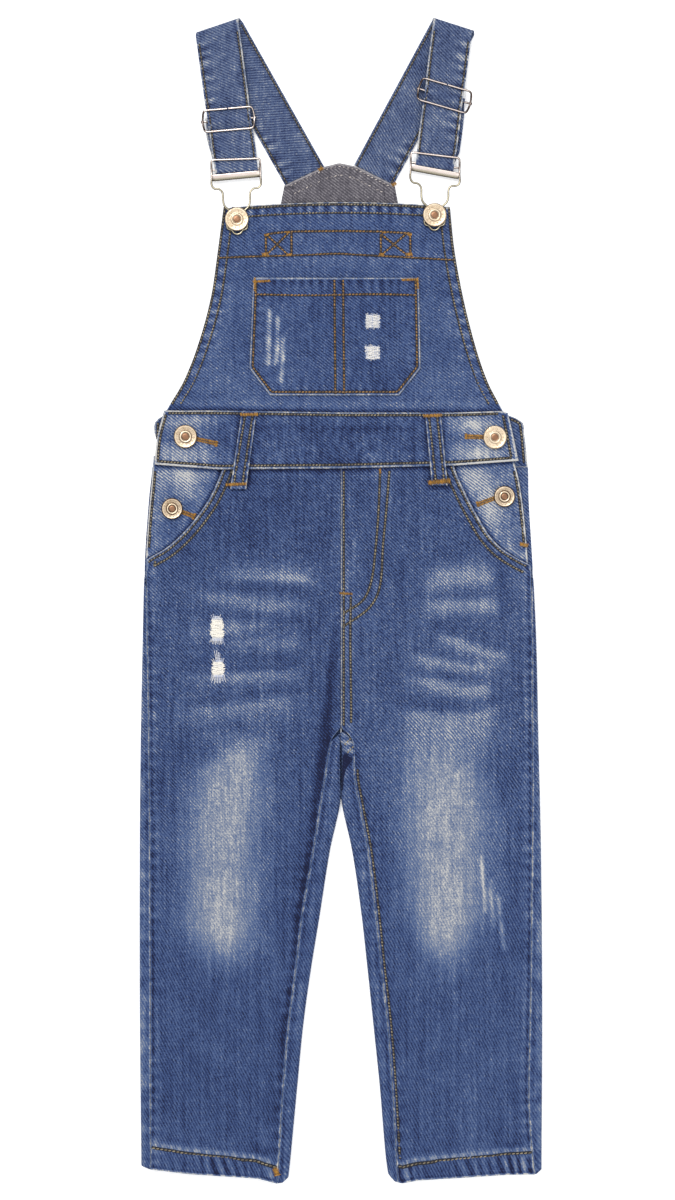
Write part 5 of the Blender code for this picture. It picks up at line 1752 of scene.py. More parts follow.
def placed(placing, points):
    """Hardware points in the world: level lines tilt more towards the top."""
    u, v, z = np.asarray(points, float).T
    tilt = np.radians(mix(placing.tilt_low, placing.tilt_high, smooth(v / 40.0)))
    return np.stack([placing.x + u + placing.lean * v, placing.y + v + u * np.tan(tilt), z], axis=1)


def loop_path(half, count):
    """A smooth closed path through a half outline and its mirror image."""
    points = np.array(list(half) + [(-p.u, p.v, p.z) for p in half[-2:0:-1]], float)
    wrapped = np.vstack([points[-2:], points, points[:3]])
    s = np.concatenate([[0.0], np.cumsum(np.linalg.norm(np.diff(wrapped, axis=0), axis=1))])
    at = np.linspace(s[2], s[2 + len(points)], count + 1)
    return np.stack([curve(s, wrapped[:, k], at) for k in range(3)], axis=1)


class Wire:
    """Collects bent rods of metal, and makes them one mesh."""

    SIDES = 14
    ROUND_END = ((0.0, 0.35), (0.10, 0.70), (0.28, 0.92), (0.55, 1.0))

    def __init__(self):
        self.points, self.faces, self.gold = [], [], []

    def rod(self, path, half_width=WIRE, half_height=None, closed=False, roll=0.0, brassy=None,
            golden_shade_below=False):
        """A bent rod; brassy says for each path point where its plating is gold."""
        path = np.asarray(path, float)
        half_height = half_height or half_width
        sizes = np.ones(len(path))
        if closed:
            run = np.roll(path, -1, axis=0) - np.roll(path, 1, axis=0)
        else:
            first, last = path[1] - path[0], path[-2] - path[-1]
            first, last = first / np.linalg.norm(first), last / np.linalg.norm(last)
            reach = min(half_width, half_height)
            head = [path[0] + first * step * reach for step, _ in self.ROUND_END]
            tail = [path[-1] + last * step * reach for step, _ in self.ROUND_END[::-1]]
            path = np.vstack([head, path[1:-1], tail])
            sizes = np.ones(len(path))
            sizes[:len(head)] = [size for _, size in self.ROUND_END]
            sizes[-len(tail):] = [size for _, size in self.ROUND_END[::-1]]
            run = np.gradient(path, axis=0)
        run = run / np.linalg.norm(run, axis=1)[:, None]
        side = np.cross(run, (0.0, 0.0, 1.0))
        side /= np.linalg.norm(side, axis=1)[:, None]
        top = np.cross(side, run)
        side, top = (side * math.cos(roll) - top * math.sin(roll),
                     side * math.sin(roll) + top * math.cos(roll))
        angles = 2 * math.pi * np.arange(self.SIDES) / self.SIDES
        ring = (side[:, None] * np.cos(angles)[None, :, None] * half_width
                + top[:, None] * np.sin(angles)[None, :, None] * half_height)
        start = len(self.points)
        self.points.extend((path[:, None] + ring * sizes[:, None, None]).reshape(-1, 3))
        rings = len(path)
        gold = np.zeros((rings, self.SIDES))
        if brassy is not None:
            gold = gold + brassy[:, None]
        # The rod's lower side can be coloured golden: painted shade on that side.
        if golden_shade_below:
            gold = gold + np.clip(2.5 * np.cos(angles)[None, :] + 0.2, 0.0, 1.0)
        self.gold.extend(gold.ravel())
        for i in range(rings if closed else rings - 1):
            a, b = start + i * self.SIDES, start + (i + 1) % rings * self.SIDES
            for k in range(self.SIDES):
                other = (k + 1) % self.SIDES
                self.faces.append((a + k, a + other, b + other, b + k))
        if not closed:
            last = start + (rings - 1) * self.SIDES
            self.faces.append(tuple(start + k for k in reversed(range(self.SIDES))))
            self.faces.append(tuple(last + k for k in range(self.SIDES)))

    def finish(self, name, surface, slot, dull_and_shade=0.0):
        mesh = bpy.data.meshes.new(name)
        mesh.from_pydata((np.array(self.points) * MM).tolist(), [], self.faces)
        outward(mesh)
        set_attribute(mesh, "gold", self.gold)
        set_attribute(mesh, "dull_and_shade", np.broadcast_to(dull_and_shade, len(self.points)))
        return add_object(name, mesh, surface)


def outward(mesh):
    shape = bmesh.new()
    shape.from_mesh(mesh)
    bmesh.ops.recalc_face_normals(shape, faces=shape.faces)
    shape.to_mesh(mesh)
    shape.free()
    mesh.shade_smooth()


def slider(side, metal):
    placing = SLIDER_PLACES[side]
    wire = Wire()
    path = placed(placing, loop_path(SLIDER_HALF, 120))
    path[0] += (path[1] - path[0]) * 0.25
    path[-1] += (path[-2] - path[-1]) * 0.25
    wire.rod(path)
    wire.rod(placed(placing, [(u, 0.0, SLIDER_BAR_Z) for u in np.linspace(-18.9, 18.9, 9)]))
    for sign in (-1, 1):
        wire.rod(placed(placing, [(sign * u, 0.0, SLIDER_BAR_Z) for u in (17.9, 18.8, 19.8)]), 1.15)
    points = np.array(wire.points)
    u = points[:, 0] - placing.x - placing.lean * (points[:, 1] - placing.y)
    # Painted shade: the slider's ends, and all of the right slider, darken more on their flanks.
    most_flank_shade, least_flank_shade = (0.85, 0.34) if side == "right" else (0.45, 0.0)
    dull_and_shade = smooth((np.abs(u) - 15.8) / 1.6) * np.where(u < 0, 0.85, most_flank_shade)
    dull_and_shade = np.maximum(dull_and_shade, least_flank_shade)
    piece = wire.finish("wire_slider_" + side, metal, "hardware", dull_and_shade)
    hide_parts("slider_" + side)


def buckle(side, metal):
    placing = BUCKLE_PLACES[side]
    wire = Wire()
    frame = loop_path(BUCKLE_HALF, 240)[:-1]
    wire.rod(placed(placing, frame), closed=True, brassy=1 - smooth((frame[:, 1] - 27.0) / 6.0))
    wire.rod(placed(placing, [(u, 36.2, BUCKLE_BAR_Z) for u in np.linspace(-17.6, 17.6, 9)]))
    slope = math.tan(math.radians(3.6 if side == "left" else -4.2))
    wire.rod(placed(placing, [(u, 31.3 + slope * u, 5.15) for u in np.linspace(-17.2, 17.2, 13)]),
             2.5, 0.6, roll=math.radians(24.0), golden_shade_below=True)
    points = np.array(wire.points)
    v = points[:, 1] - placing.y
    u = np.abs(points[:, 0] - placing.x - placing.lean * v)
    # Painted shade: the frame's sides and its lower part darken more on their flanks.
    dull_and_shade = 0.55 * smooth((u - 16.2) / 1.0) * smooth((v - 23.0) / 3.0) * smooth((43.0 - v) / 3.0)
    dull_and_shade = dull_and_shade + 0.20 * smooth((26.0 - v) / 4.0)
    piece = wire.finish("wire_buckle_" + side, metal, "hardware", dull_and_shade)
    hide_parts("buckle_" + side)


# ---------------------------------------------------------------- buttons
BUTTON_FACE = (                # (radius, height over the head's underside), middle outwards
    (0.0, 1.56), (1.3, 1.55), (2.1, 1.52), (2.45, 1.34), (2.7, 1.28), (2.95, 1.50), (3.3, 1.86),
    (3.7, 1.96), (4.05, 1.84), (4.3, 1.58), (4.7, 1.46), (5.3, 1.48), (6.2, 1.58), (7.0, 1.70),
    (7.45, 1.84), (7.9, 1.86), (8.25, 1.66), (8.48, 1.25), (8.5, 0.85), (8.36, 0.40), (8.05, 0.10),
    (7.7, 0.0), (2.6, 0.0),
)
ButtonPlace = namedtuple("ButtonPlace", "name x y size lift grime")
BUTTONS = (
    ButtonPlace("bib_left", -74.7, 273.6, 1.0, 2.1, 0.50),
    ButtonPlace("bib_right", 67.2, 276.6, 1.0, 2.1, 0.60),
    ButtonPlace("waist_left", -111.6, 117.5, 0.99, 0.4, 0.85),
    ButtonPlace("waist_right", 110.4, 117.0, 0.99, 0.4, 0.50),
    ButtonPlace("side_left", -121.3, 65.9, 0.9, 0.4, 1.15),
    ButtonPlace("side_right", 117.4, 74.7, 0.9, 0.4, 1.10),
)
BUTTON_SIDES = 56
BEADS = 14
BEAD_SIDES = 8
BEAD_RING = 6.0                # radius of the ring that the beads stand on
# Each ring of a bead from its foot to its top: radius, rise and grime.
BEAD = ((0.62, 0.0, 1.0), (0.52, 0.2, 0.6), (0.30, 0.34, 0.2), (0.0, 0.38, 0.1))


def cloth_under(place):
    """Highest cloth below a button's head."""
    angles, radii = np.meshgrid(np.linspace(0.0, 2 * math.pi, 24), (0.0, 5.0, 8.5))
    x, y = place.x + radii * np.cos(angles), place.y + radii * np.sin(angles)
    if place.name.startswith("bib"):
        return float(bib_surface(x, y).max())
    if place.name.startswith("waist"):
        return float(band_surface(x, y).max())
    return float(facing_height(x, y).max()) + 0.1


def ring_faces(first, rings, sides):
    """Faces between rings of points, each ring standing on the one before."""
    for i in range(rings - 1):
        start = first + i * sides
        for k in range(sides):
            a, b = start + k, start + (k + 1) % sides
            yield a, b, b + sides, a + sides


def button(place, metal):
    """Turned shank button with a ring, a copper rivet in the middle and beads round its rim."""
    head = cloth_under(place) + 0.25 + place.lift
    profile = [(r, h) for r, h in BUTTON_FACE] + [(2.6, -place.lift), (0.0, -place.lift)]
    angles = 2 * math.pi * np.arange(BUTTON_SIDES) / BUTTON_SIDES
    points, faces, copper, dark = [], [], [], []
    for r, h in profile:
        for angle in angles:
            points.append((r * math.cos(angle), r * math.sin(angle), h))
            copper.append(1.0 if r < 2.5 and h > 1.0 else 0.0)
            # Dark antique film in the grooves; the dark outer rim (r > 7.85) is painted shade where
            # the edge turns down.
            groove_patina_or_rim_shade = 2.2 < r < 3.0 or 4.2 < r < 4.75 or r > 7.85
            dark.append(1.0 if groove_patina_or_rim_shade else 0.45 * (4.7 < r < 7.2))
    faces.extend(ring_faces(0, len(profile), BUTTON_SIDES))
    turned = float(lattice(place.x, place.y, 9)) * 6.3
    for bead in range(BEADS):
        angle = turned + 2 * math.pi * bead / BEADS
        middle = np.array((BEAD_RING * math.cos(angle), BEAD_RING * math.sin(angle), 1.50))
        first = len(points)
        for radius, rise, grime in BEAD:
            for k in range(BEAD_SIDES):
                around = 2 * math.pi * k / BEAD_SIDES
                points.append(middle + (radius * math.cos(around), radius * math.sin(around), rise))
                copper.append(0.0)
                dark.append(grime)
        faces.extend(ring_faces(first, len(BEAD), BEAD_SIDES))
    name = "turned_button_" + place.name
    place_at = np.array(points) * (place.size, place.size, 1.0) + (place.x, place.y, head)
    mesh = bpy.data.meshes.new(name)
    mesh.from_pydata((place_at * MM).tolist(), [], faces)
    outward(mesh)
    set_attribute(mesh, "copper", copper)
    set_attribute(mesh, "dark", np.array(dark) * place.grime)
    piece = add_object(name, mesh, metal)
    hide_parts("button_" + place.name)


def button_metal(name):
    """Champagne-gold plating, dark antique film in the grooves, painted shade on the rim, copper in
    the middle.
    """
    n = Nodes(name)
    spots = n.noise(700.0, detail=3.0, rough=0.6)
    film = n.noise(150.0, detail=2.0)
    aged = n.span(n.add(spots, film), -0.6, 1.2)
    gold = n.blend(aged, linear(242, 222, 194), linear(214, 188, 152))
    metal = n.blend(n.attribute("copper"), gold, linear(140, 104, 80))
    # Dark from noise and the dark attribute: antique film in the grooves, painted shade on the
    # outer rim.
    grime = n.math("MULTIPLY_ADD", spots, 0.35, n.attribute("dark"), clamp=True)
    n.set(Base_Color=n.blend(grime, metal, linear(92, 72, 58)), Metallic=1.0)
    n.set(Roughness=n.span(n.add(spots, grime), -1.0, 1.5, 0.26, 0.52))
    n.bump(spots, 0.00004, 0.5)
    return n.material


# ---------------------------------------------------------------- sewing
GOLD_ROW = dict(length=1.65, gap=0.75, width=1.05, height=0.36)
OLIVE_ROW = dict(length=1.40, gap=0.90, width=1.05, height=0.36)
STRAP_ROW = dict(OLIVE_ROW, length=1.7, gap=1.0, width=0.52)


def leg_surface(side):
    return lambda x, y: front_leg_height(side, x, y)


def flat_at(height):
    return lambda x, y: np.full(np.shape(x), height)


def level_path(y_of, x1, x2):
    x = steps(x1, x2, 3.0)
    return np.stack([x, y_of(x)], axis=1)


def upright_path(x_of, y1, y2):
    y = steps(y1, y2, 3.0)
    return np.stack([x_of(y), y], axis=1)


def double(sewing, dye_and_shade_strips, path, surface, seed, **sizes):
    """A row of stitches on a dark band: painted shade of the furrow it presses and the unfaded dye.
    """
    dye_and_shade_strips.channel(path, surface)
    sewing.row(path, surface, seed=seed, **sizes)


def sew_legs(olive, dye_and_shade_strips):
    """Scoop pockets, inside leg, hems, centre seam and the mock fly."""
    for side, sign in SIGN.items():
        surface = leg_surface(side)
        for k, inset in enumerate((2.0, 6.9)):
            path = offset_path(scoop_path(side), -sign * inset)
            keep = sign * (down(OUTSEAM, side, path[:, 1]) - path[:, 0]) > 0.8
            double(olive, dye_and_shade_strips, path[keep], surface, 200 + k, **OLIVE_ROW)
        thread_at = upright_path(lambda y: inseam_x(side, y) + sign * 2.3, -121.0, -401.0)
        if side == "right":
            double(olive, dye_and_shade_strips, thread_at, surface, 210, **OLIVE_ROW)
        hem = HEM_LEVEL + LEG_HEM
        reach = (-136.0, -46.5) if side == "left" else (41.0, 137.0)
        row = level_path(lambda x: hem + hem_lean(x) + 0.5 * noise(x, x, 22.0, 9.0, 211), *reach)
        moved = np.stack([row[:, 0], leg_y(row[:, 0], row[:, 1], HEMS[side])], axis=1)
        flat = leg_y_surface(side)
        # A dark band under the hem's stitches: painted shade, with the unfaded dye.
        dye_and_shade_strips.channel(moved, flat, 2.6)
        olive.row(moved, flat, length=2.0, gap=0.9, width=0.95, height=0.34, seed=212 + sign)
    right = leg_surface("right")
    for path, seed in ((upright_path(lambda y: 1.9 + 0 * y, 93.0, -90.0), 220),
                       (upright_path(lambda y: 7.0 + 0.3 * np.sin(y / 17.0), 3.0, -88.0), 221)):
        double(olive, dye_and_shade_strips, path, right, seed, **OLIVE_ROW)
    for k, fly in enumerate(("28.1 93.2, 26.9 63, 24.6 35, 21.8 14, 16 0.5, 1.2 -9.6",
                             "34.8 93.2, 32.6 66, 30.2 40, 27.8 9.7, 20.5 -5, 1.2 -19")):
        double(olive, dye_and_shade_strips, bend(table("x y", fly)), right, 222 + k, **GOLD_ROW)


def leg_y_surface(side):
    """The leg's height read at a place of the finished hem."""
    def surface(x, y):
        drop = side_to_side(HEMS[side], x) - HEM_LEVEL
        return front_leg_height(side, x, y - drop * smooth(1 - (y - drop - HEM_LEVEL) / HEM_FOLLOW))
    return surface


def sew_facings(olive, dye_and_shade_strips):
    """The facings' side hems."""
    for side, sign in SIGN.items():
        path = upright_path(lambda y: down(FACING_EDGE, side, y) - sign * 2.0, 93.0, 38.0)
        double(olive, dye_and_shade_strips, path, facing_height, 230, **OLIVE_ROW)


def sew_band(olive, dye_and_shade_strips):
    top = level_path(lambda x: side_to_side(BAND_TOP, x) - 2.0, -124.0, 113.0)
    low = level_path(lambda x: side_to_side(BAND_BOTTOM, x) + 2.6, -132.0, 122.5)
    left = upright_path(lambda y: down(BAND_ENDS, "left", y) + 2.2, 133.5, 101.0)
    right = upright_path(lambda y: down(BAND_ENDS, "right", y) - 4.4, 133.0, 103.0)
    for k, path in enumerate((top, low, left, right)):
        double(olive, dye_and_shade_strips, path, band_surface, 240 + k, **OLIVE_ROW)
    for end in ("122 130.6, 128.6 127.4, 130 118, 131.6 99", "-131.6 128, -132 116"):
        double(olive, dye_and_shade_strips, dense(table("x y", end), 1.5), flat_at(BAND), 246, **OLIVE_ROW)
    for loop in LOOPS:
        left, right = (loop.top_x1 + 2.7, loop.low_x1 + 2.7), (loop.top_x2 - 2.7, loop.low_x2 - 2.7)
        for x1, x2 in (left, right):
            path = dense([(x1, loop.top_y - 1.5), (x2, loop.low_y + 3.5)])
            double(olive, dye_and_shade_strips, path, loop_surface, 250, **OLIVE_ROW)


def sew_bib(gold, olive, dye_and_shade_strips):
    for inset, seed in ((1.7, 260), (7.4, 261)):
        path = level_path(lambda x: bib_top(x) - inset, -81.0, 75.5)
        double(olive, dye_and_shade_strips, path, bib_surface, seed, **OLIVE_ROW)
    for side, sign in SIGN.items():
        for inset, low, seed in ((1.2, 141.0, 262), (7.2, 141.0, 263)):
            path = upright_path(lambda y: down(BIB, side, y) - sign * inset, 283.0, low)
            double(olive, dye_and_shade_strips, path, bib_surface, seed, **OLIVE_ROW)
    seam = level_path(lambda x: side_to_side(YOKE_SEAM, x), -88.0, 82.0)
    double(gold, dye_and_shade_strips, seam, bib_surface, 264, length=2.3, gap=0.35, width=0.72, height=0.34)
    top = table("x y", "-53.5 263, -49 264, -36 265.2, 0 265.6, 28 265.2, 49.5 264")
    double(gold, dye_and_shade_strips, dense(top), bib_surface, 265, **GOLD_ROW)
    for x1, x2 in ((-54.0, -35.6), (28.6, 49.8)):
        y1, y2 = 247.8, 263.6
        for path in ([(x1, y2), (x1, y1)], [(x2, y2 + 1.2), (x2, y1)],
                     [(x1, y2), (x2 - 2, y1)], [(x1, y1), (x2 - 2, y2 + 0.8)]):
            double(gold, dye_and_shade_strips, dense(path, 1.5), bib_surface, 266, **GOLD_ROW)


def sew_pocket(gold, dye_and_shade_strips):
    outline = table("x y", "-60.9 230, -63.4 167.6, -49.8 149.7, 40.5 149.7, 54.7 167.8, 53.6 230")
    double(gold, dye_and_shade_strips, dense(outline, 1.5), pocket_surface, 270, **GOLD_ROW)
    hem = level_path(lambda x: 219.6 + 0.3 * np.sin(x / 15.0), -61.0, 54.0)
    double(gold, dye_and_shade_strips, hem, pocket_surface, 271, **GOLD_ROW)
    for x, low in ((-4.4, 148.2), (1.9, 148.2)):
        path = upright_path(lambda y: x - 0.35 * (y - 190.0) / 40.0, 230.6, low)
        double(gold, dye_and_shade_strips, path, pocket_surface, 272, **GOLD_ROW)


def buttonhole(tack, dye_and_shade_strips, x1, y1, x2, y2, surface, seed):
    """A worked hole: two rows of close stitches, a painted-shade slit between them and a bar at its
    end.
    """
    run = np.array([x2 - x1, y2 - y1]) / math.hypot(x2 - x1, y2 - y1)
    side = np.array([-run[1], run[0]])
    for sign in (-1, 1):
        a, b = np.array([x1, y1]) + side * sign * 0.85, np.array([x2, y2]) + side * sign * 0.95
        tack.satin(*a, *b, 1.7, surface, 0.48, seed + sign)
    dye_and_shade_strips.channel(dense([(x1, y1), (x2, y2)], 1.0), surface, 0.4, 0.35)
    a, b = np.array([x2, y2]) - side * 2.0, np.array([x2, y2]) + side * 2.0
    tack.satin(*a, *b, 2.0, surface, 0.5, seed + 5, lift=0.3)


POCKET_TACKS = table("x1 y1 x2 y2 width", """
    -63 228.9 -50.8 229.6 1.9
    -61.9 231.5 -62 222.5 1.6
    43.8 230.2 54.8 230.6 2
    54.9 231.6 55.4 224 1.5""")
BIB_TACKS = table("x y size", """
    -53.6 262.6 2.6, -54.4 248.6 4.2, -37.2 248.4 3, -38 264.6 2.2
    29.2 248.6 3, 49 248.6 4, 49.4 262.8 2.6, 31 264.4 2.2""")


def sew_tacks(tack, dye_and_shade_strips):
    buttonhole(tack, dye_and_shade_strips, -104.0, 115.9, -89.2, 112.6, band_surface, 300)
    buttonhole(tack, dye_and_shade_strips, 103.0, 117.3, 89.6, 117.6, band_surface, 301)
    buttonhole(tack, dye_and_shade_strips, -114.0, 63.6, -105.6, 60.4, facing_height, 302)
    buttonhole(tack, dye_and_shade_strips, 110.0, 73.4, 98.2, 69.0, facing_height, 303)
    left, right = LOOPS
    tack.satin(left.top_x1 - 0.5, 133.3, left.top_x2 + 0.9, 133.5, 2.6, loop_surface, 0.5, 310)
    tack.satin(left.low_x1 - 3.0, 83.0, left.low_x2 + 0.3, 83.7, 2.4, loop_surface, 0.5, 311)
    tack.satin(right.top_x1 - 0.9, 132.4, right.top_x2 + 0.3, 132.9, 2.6, loop_surface, 0.5, 312)
    tack.satin(right.low_x1 - 2.6, 84.4, right.low_x2 + 1.8, 85.8, 3.6, loop_surface, 0.5, 313)
    right_leg = leg_surface("right")
    tack.satin(-1.0, 5.2, 8.2, 4.7, 1.9, lambda x, y: right_leg(np.maximum(x, 0.1), y), 0.5, 314)
    tack.satin(128.8, 40.6, 134.4, 39.4, 3.0, facing_height, 0.5, 315)
    tack.satin(28.0, 94.4, 28.2, 91.4, 1.8, right_leg, 0.5, 316)
    for t in POCKET_TACKS:
        tack.satin(t.x1, t.y1, t.x2, t.y2, t.width, pocket_surface, 0.5, 317)
    for x, y, size in BIB_TACKS:
        tack.satin(x - size / 2, y, x + size / 2, y + 0.2, size * 0.75, bib_surface, 0.5, 318)
    for x, y in ((-14.4, 310.6), (38.4, 299.6)):
        tack.satin(x - 1.5, y - 0.8, x + 1.5, y + 0.8, 2.8, flat_at(DENIM + 0.3), 0.5, 319)
    hem_left = leg_y_surface("left")
    tack.satin(-47.5, -407.5, -45.5, -413.0, 4.5, hem_left, 0.5, 320)


def sew_yoke(pale, dark):
    peak = [(p.x, p.y) for p in BACK_BIB_TOP]
    edge = dense(peak, 1.0)
    first = offset_path(edge, -2.2)
    second = offset_path(edge, -8.4)
    second = second[(second[:, 0] > -34.5) & (second[:, 0] < 31.0)]
    pale.row(first[3:-3], flat_at(DENIM), 1.5, 1.6, 0.7, 0.25, 330)
    pale.row(second, flat_at(DENIM), 1.6, 1.5, 0.7, 0.25, 331, skip=0.12)
    for x1, x2, y1 in ((-34.6, -34.8, 299.0), (30.6, 31.6, 301.0), (38.0, 38.9, 294.0)):
        dark.row(dense([(x1, y1), (x2, 287.5)]), flat_at(DENIM), 1.7, 1.2, 0.8, 0.25, 332)


def sew_straps(olive, dye_and_shade_strips, strap_grids):
    for grid, shares, (loop_end, fold_row, back_row), width in strap_grids:
        for share in (-0.5 + 1.8 / width, 0.5 - 1.8 / width):
            line = [[np.interp(share, shares, row[:, k]) for k in range(3)] for row in grid]
            line = np.array(line)
            for part in (line[loop_end + 3:fold_row - 1], line[back_row:]):
                olive.along(part, STRAP / 2, 333, **STRAP_ROW)
                # A dark strip under the strap's stitches: painted shade of the pressed-in band,
                # with the unfaded dye.
                dye_and_shade_strips.strip(part + (0.0, 0.0, STRAP / 2 + 0.02), 1.4)


# ---------------------------------------------------------------- rips and the crotch
LEG_RIP_THREADS = table(THREADS, """
    -89 -20.2 4.4 8.6 0.5 1.7
    -88.2 -48.8 4.2 6 0.5 1.9""")
POCKET_RIP_THREADS = table(THREADS, """
    22.8 200.6 4.7 4.3 0.6 1.7
    22.6 178 4.7 4.3 0.6 1.7""")
RIP_SHAPE = ((-1.0, -0.6, 0.3, 0.75, 1.0), (0.78, 1.0, 1.0, 0.78, 0.45))     # half width by height
# Frayed warp ends; a length above 0 points up.
FRINGES = table("x y half count length", """
    -89.8 -13.4 2.8 6 3.4
    -89 -27.4 4.6 12 -4.4
    -88.6 -42.5 1.6 5 6.4
    -88.2 -44.2 4 9 2.8
    -88.2 -53.4 4.8 14 -5.6""")


def fibre(cotton, points, surface, width, height, tone, lift=0.35):
    xy = np.array(points)
    z = surface(xy[:, 0], xy[:, 1]) + lift
    for i in range(len(xy) - 1):
        cotton.stitch((*xy[i], z[i]), (*xy[i + 1], z[i + 1]), (0, 0, 1), width, height, tone)


def bare_threads(cotton, rip, surface, seed, woven):
    """White weft left across a rip, its ends a little frayed; lumpy squares where woven."""
    rows = int(2 * rip.half_y / rip.pitch)
    for k in range(rows + 1):
        share = 1 - 2 * k / rows
        y = rip.y + rip.half_y * share + 0.2 * (chance(k, seed, 1) - 0.5)
        reach = rip.half_x * (1.0 if woven else np.interp(share, *RIP_SHAPE))
        left = rip.x - reach - rip.fray * (chance(k, seed, 2) - 0.4)
        right = rip.x + reach + rip.fray * (chance(k, seed, 3) - 0.4)
        x = np.linspace(left, right, 9)
        wave = y + (0.22 if woven else 0.10) * np.sin(x * 0.9 + 6.3 * chance(k, seed, 4))
        tone = 0.6 + 0.5 * chance(k, seed, 6) - (0.9 if woven and k % 3 == 0 else 0.0)
        tone = tone - (0.0 if woven else 1.5 * float(smooth((abs(share) - 0.62) / 0.3)))
        fibre(cotton, np.column_stack([x, wave]), surface, 0.62, 0.24, tone, 0.30)
    if woven:
        for k in range(int(2 * rip.half_x / 1.1) + 1):
            x = rip.x - rip.half_x + k * 1.1 + 0.4 * (chance(k, seed, 7) - 0.5)
            start = rip.y + rip.half_y + 2.0 * chance(k, seed, 8) - 0.2
            stop = rip.y - rip.half_y - 2.0 * chance(k, seed, 9) + 0.2
            y = np.linspace(start, stop, 10)
            fibre(cotton, np.column_stack([x + 0.25 * np.sin(y * 1.3 + k), y]), surface, 0.50, 0.22,
                  0.6 - 1.5 * chance(k, seed, 10), 0.45)


def fringes(cotton, surface):
    for seed, f in enumerate(FRINGES):
        for k in range(int(f.count)):
            side = 2 * (k + 0.5) / f.count - 1
            length = f.length * (0.55 + 0.6 * chance(k, seed, 11))
            bent = 1.2 * side + 1.0 * (chance(k, seed, 12) - 0.5)
            x = f.x + f.half * side + bent * np.array((0.0, 0.25, 0.6, 1.0))
            y = f.y + length * np.array((0.0, 0.35, 0.7, 1.0))
            tone = 0.3 - 1.3 * chance(k, seed, 13)
            fibre(cotton, np.column_stack([x, y]), surface, 0.55, 0.24, tone)


KNOT = ((1.2, -94.5), (2.6, -99.0), (4.8, -104.5), (7.0, -109.5), (8.2, -113.0))
KNOT_HALF = (1.8, 3.6, 4.6, 4.2, 2.6)


HOLLOW = ((4.6, -110.6), (4.9, -113.2), (3.6, -116.4), (2.2, -120.6), (1.3, -127.0), (0.9, -136.0))
HOLLOW_HALF = (2.2, 3.7, 2.5, 1.4, 0.7, 0.4)


def tops(piece, x, y):
    """Height of a finished piece's top at each point, in mm."""
    mesh = piece.data
    tree = BVHTree.FromPolygons([v.co for v in mesh.vertices],
                                [tuple(p.vertices) for p in mesh.polygons])
    hits = [tree.ray_cast((a * MM, b * MM, 0.1), (0, 0, -1))[0]
            for a, b in zip(x.ravel(), y.ravel())]
    return np.array([hit[2] / MM if hit else 0.0 for hit in hits]).reshape(x.shape)


def crotch_gather(cloth, olive, leg):
    """The twisted end of the inside-leg seam between the legs, with dark sheets that paint the
    shade between the legs and in the hollow beside it.
    """
    middle = bend(KNOT, 0.7)
    s = np.linspace(0.0, 1.0, len(middle))
    half = np.interp(s, np.linspace(0.0, 1.0, len(KNOT_HALF)), KNOT_HALF)
    run = np.gradient(middle, axis=0)
    run /= np.hypot(run[:, 0], run[:, 1])[:, None]
    u = np.linspace(-1.0, 1.0, 22)[None, :]
    x = middle[:, :1] - run[:, 1:] * u * half[:, None]
    y = middle[:, 1:] + run[:, :1] * u * half[:, None]
    order = np.argsort(x[len(x) // 2])
    x, y = x[:, order], y[:, order]
    ends = np.sin(math.pi * np.clip(s, 0.04, 0.96))[:, None] ** 0.4
    dome = np.sqrt(np.maximum(1 - u ** 2, 0.0)) * ends
    twist = np.sin(2 * math.pi * (3.1 * s[:, None] - 0.34 * u))
    z = 3.8 + (2.9 + 0.35 * twist) * dome
    # A paler knot, lighter on the twist's ridges and darker towards its edges: painted light and
    # shade on its shape.
    fade = 0.30 + 0.22 * twist - 0.45 * (1 - dome)
    knot = shell("cloth_crotch_gather", x, y, z, DENIM, cloth, "denim", fade, 2.6 + 2.0 * dome)
    for y_at in (-101.6, -107.4):
        lean = 0.35 * (-101.6 - y_at)
        path = dense([(2.2 + lean, y_at - 2.2), (7.2 + lean, y_at + 3.0)], 1.0)
        olive.row(path, flat_at(6.8), seed=401, **OLIVE_ROW)
    # A dark strip between the legs: painted shade where they touch.
    y = steps(-96.0, -143.0, 2.0)[:, None]
    x = np.linspace(-1.5, 1.7, 5)[None, :] + 0 * y
    gap_shade = shell("painted_shade_crotch_gap", x, y + 0 * x, 0.3 + 0 * x, 0.25, cloth, "denim", -0.40)
    # A thin dark sheet on the back leg: painted shade in the hollow beside the knot.
    y = np.arange(-110.8, -136.0, -0.6)[:, None]
    at = [np.interp(-y[:, 0], [-p[1] for p in HOLLOW], values)[:, None]
          for values in ([p[0] for p in HOLLOW], HOLLOW_HALF)]
    x = at[0] + at[1] * np.linspace(-1.0, 1.0, 13)[None, :]
    x = np.maximum(x, 0.35 + 0.01 * np.arange(13)[None, :])
    y = y + 0.22 * (at[0] - x)
    shade = shell("painted_shade_crotch_hollow", x, y, tops(leg, x, y) + 0.22, 0.18, cloth, "denim", -0.50)


# ---------------------------------------------------------------- the garment
GREYS = (                        # the bib's inside face
    (0.00, linear(50, 48, 55)),
    (0.40, linear(78, 75, 82)),
    (0.60, linear(98, 94, 101)),
    (1.00, linear(150, 146, 148)),
)


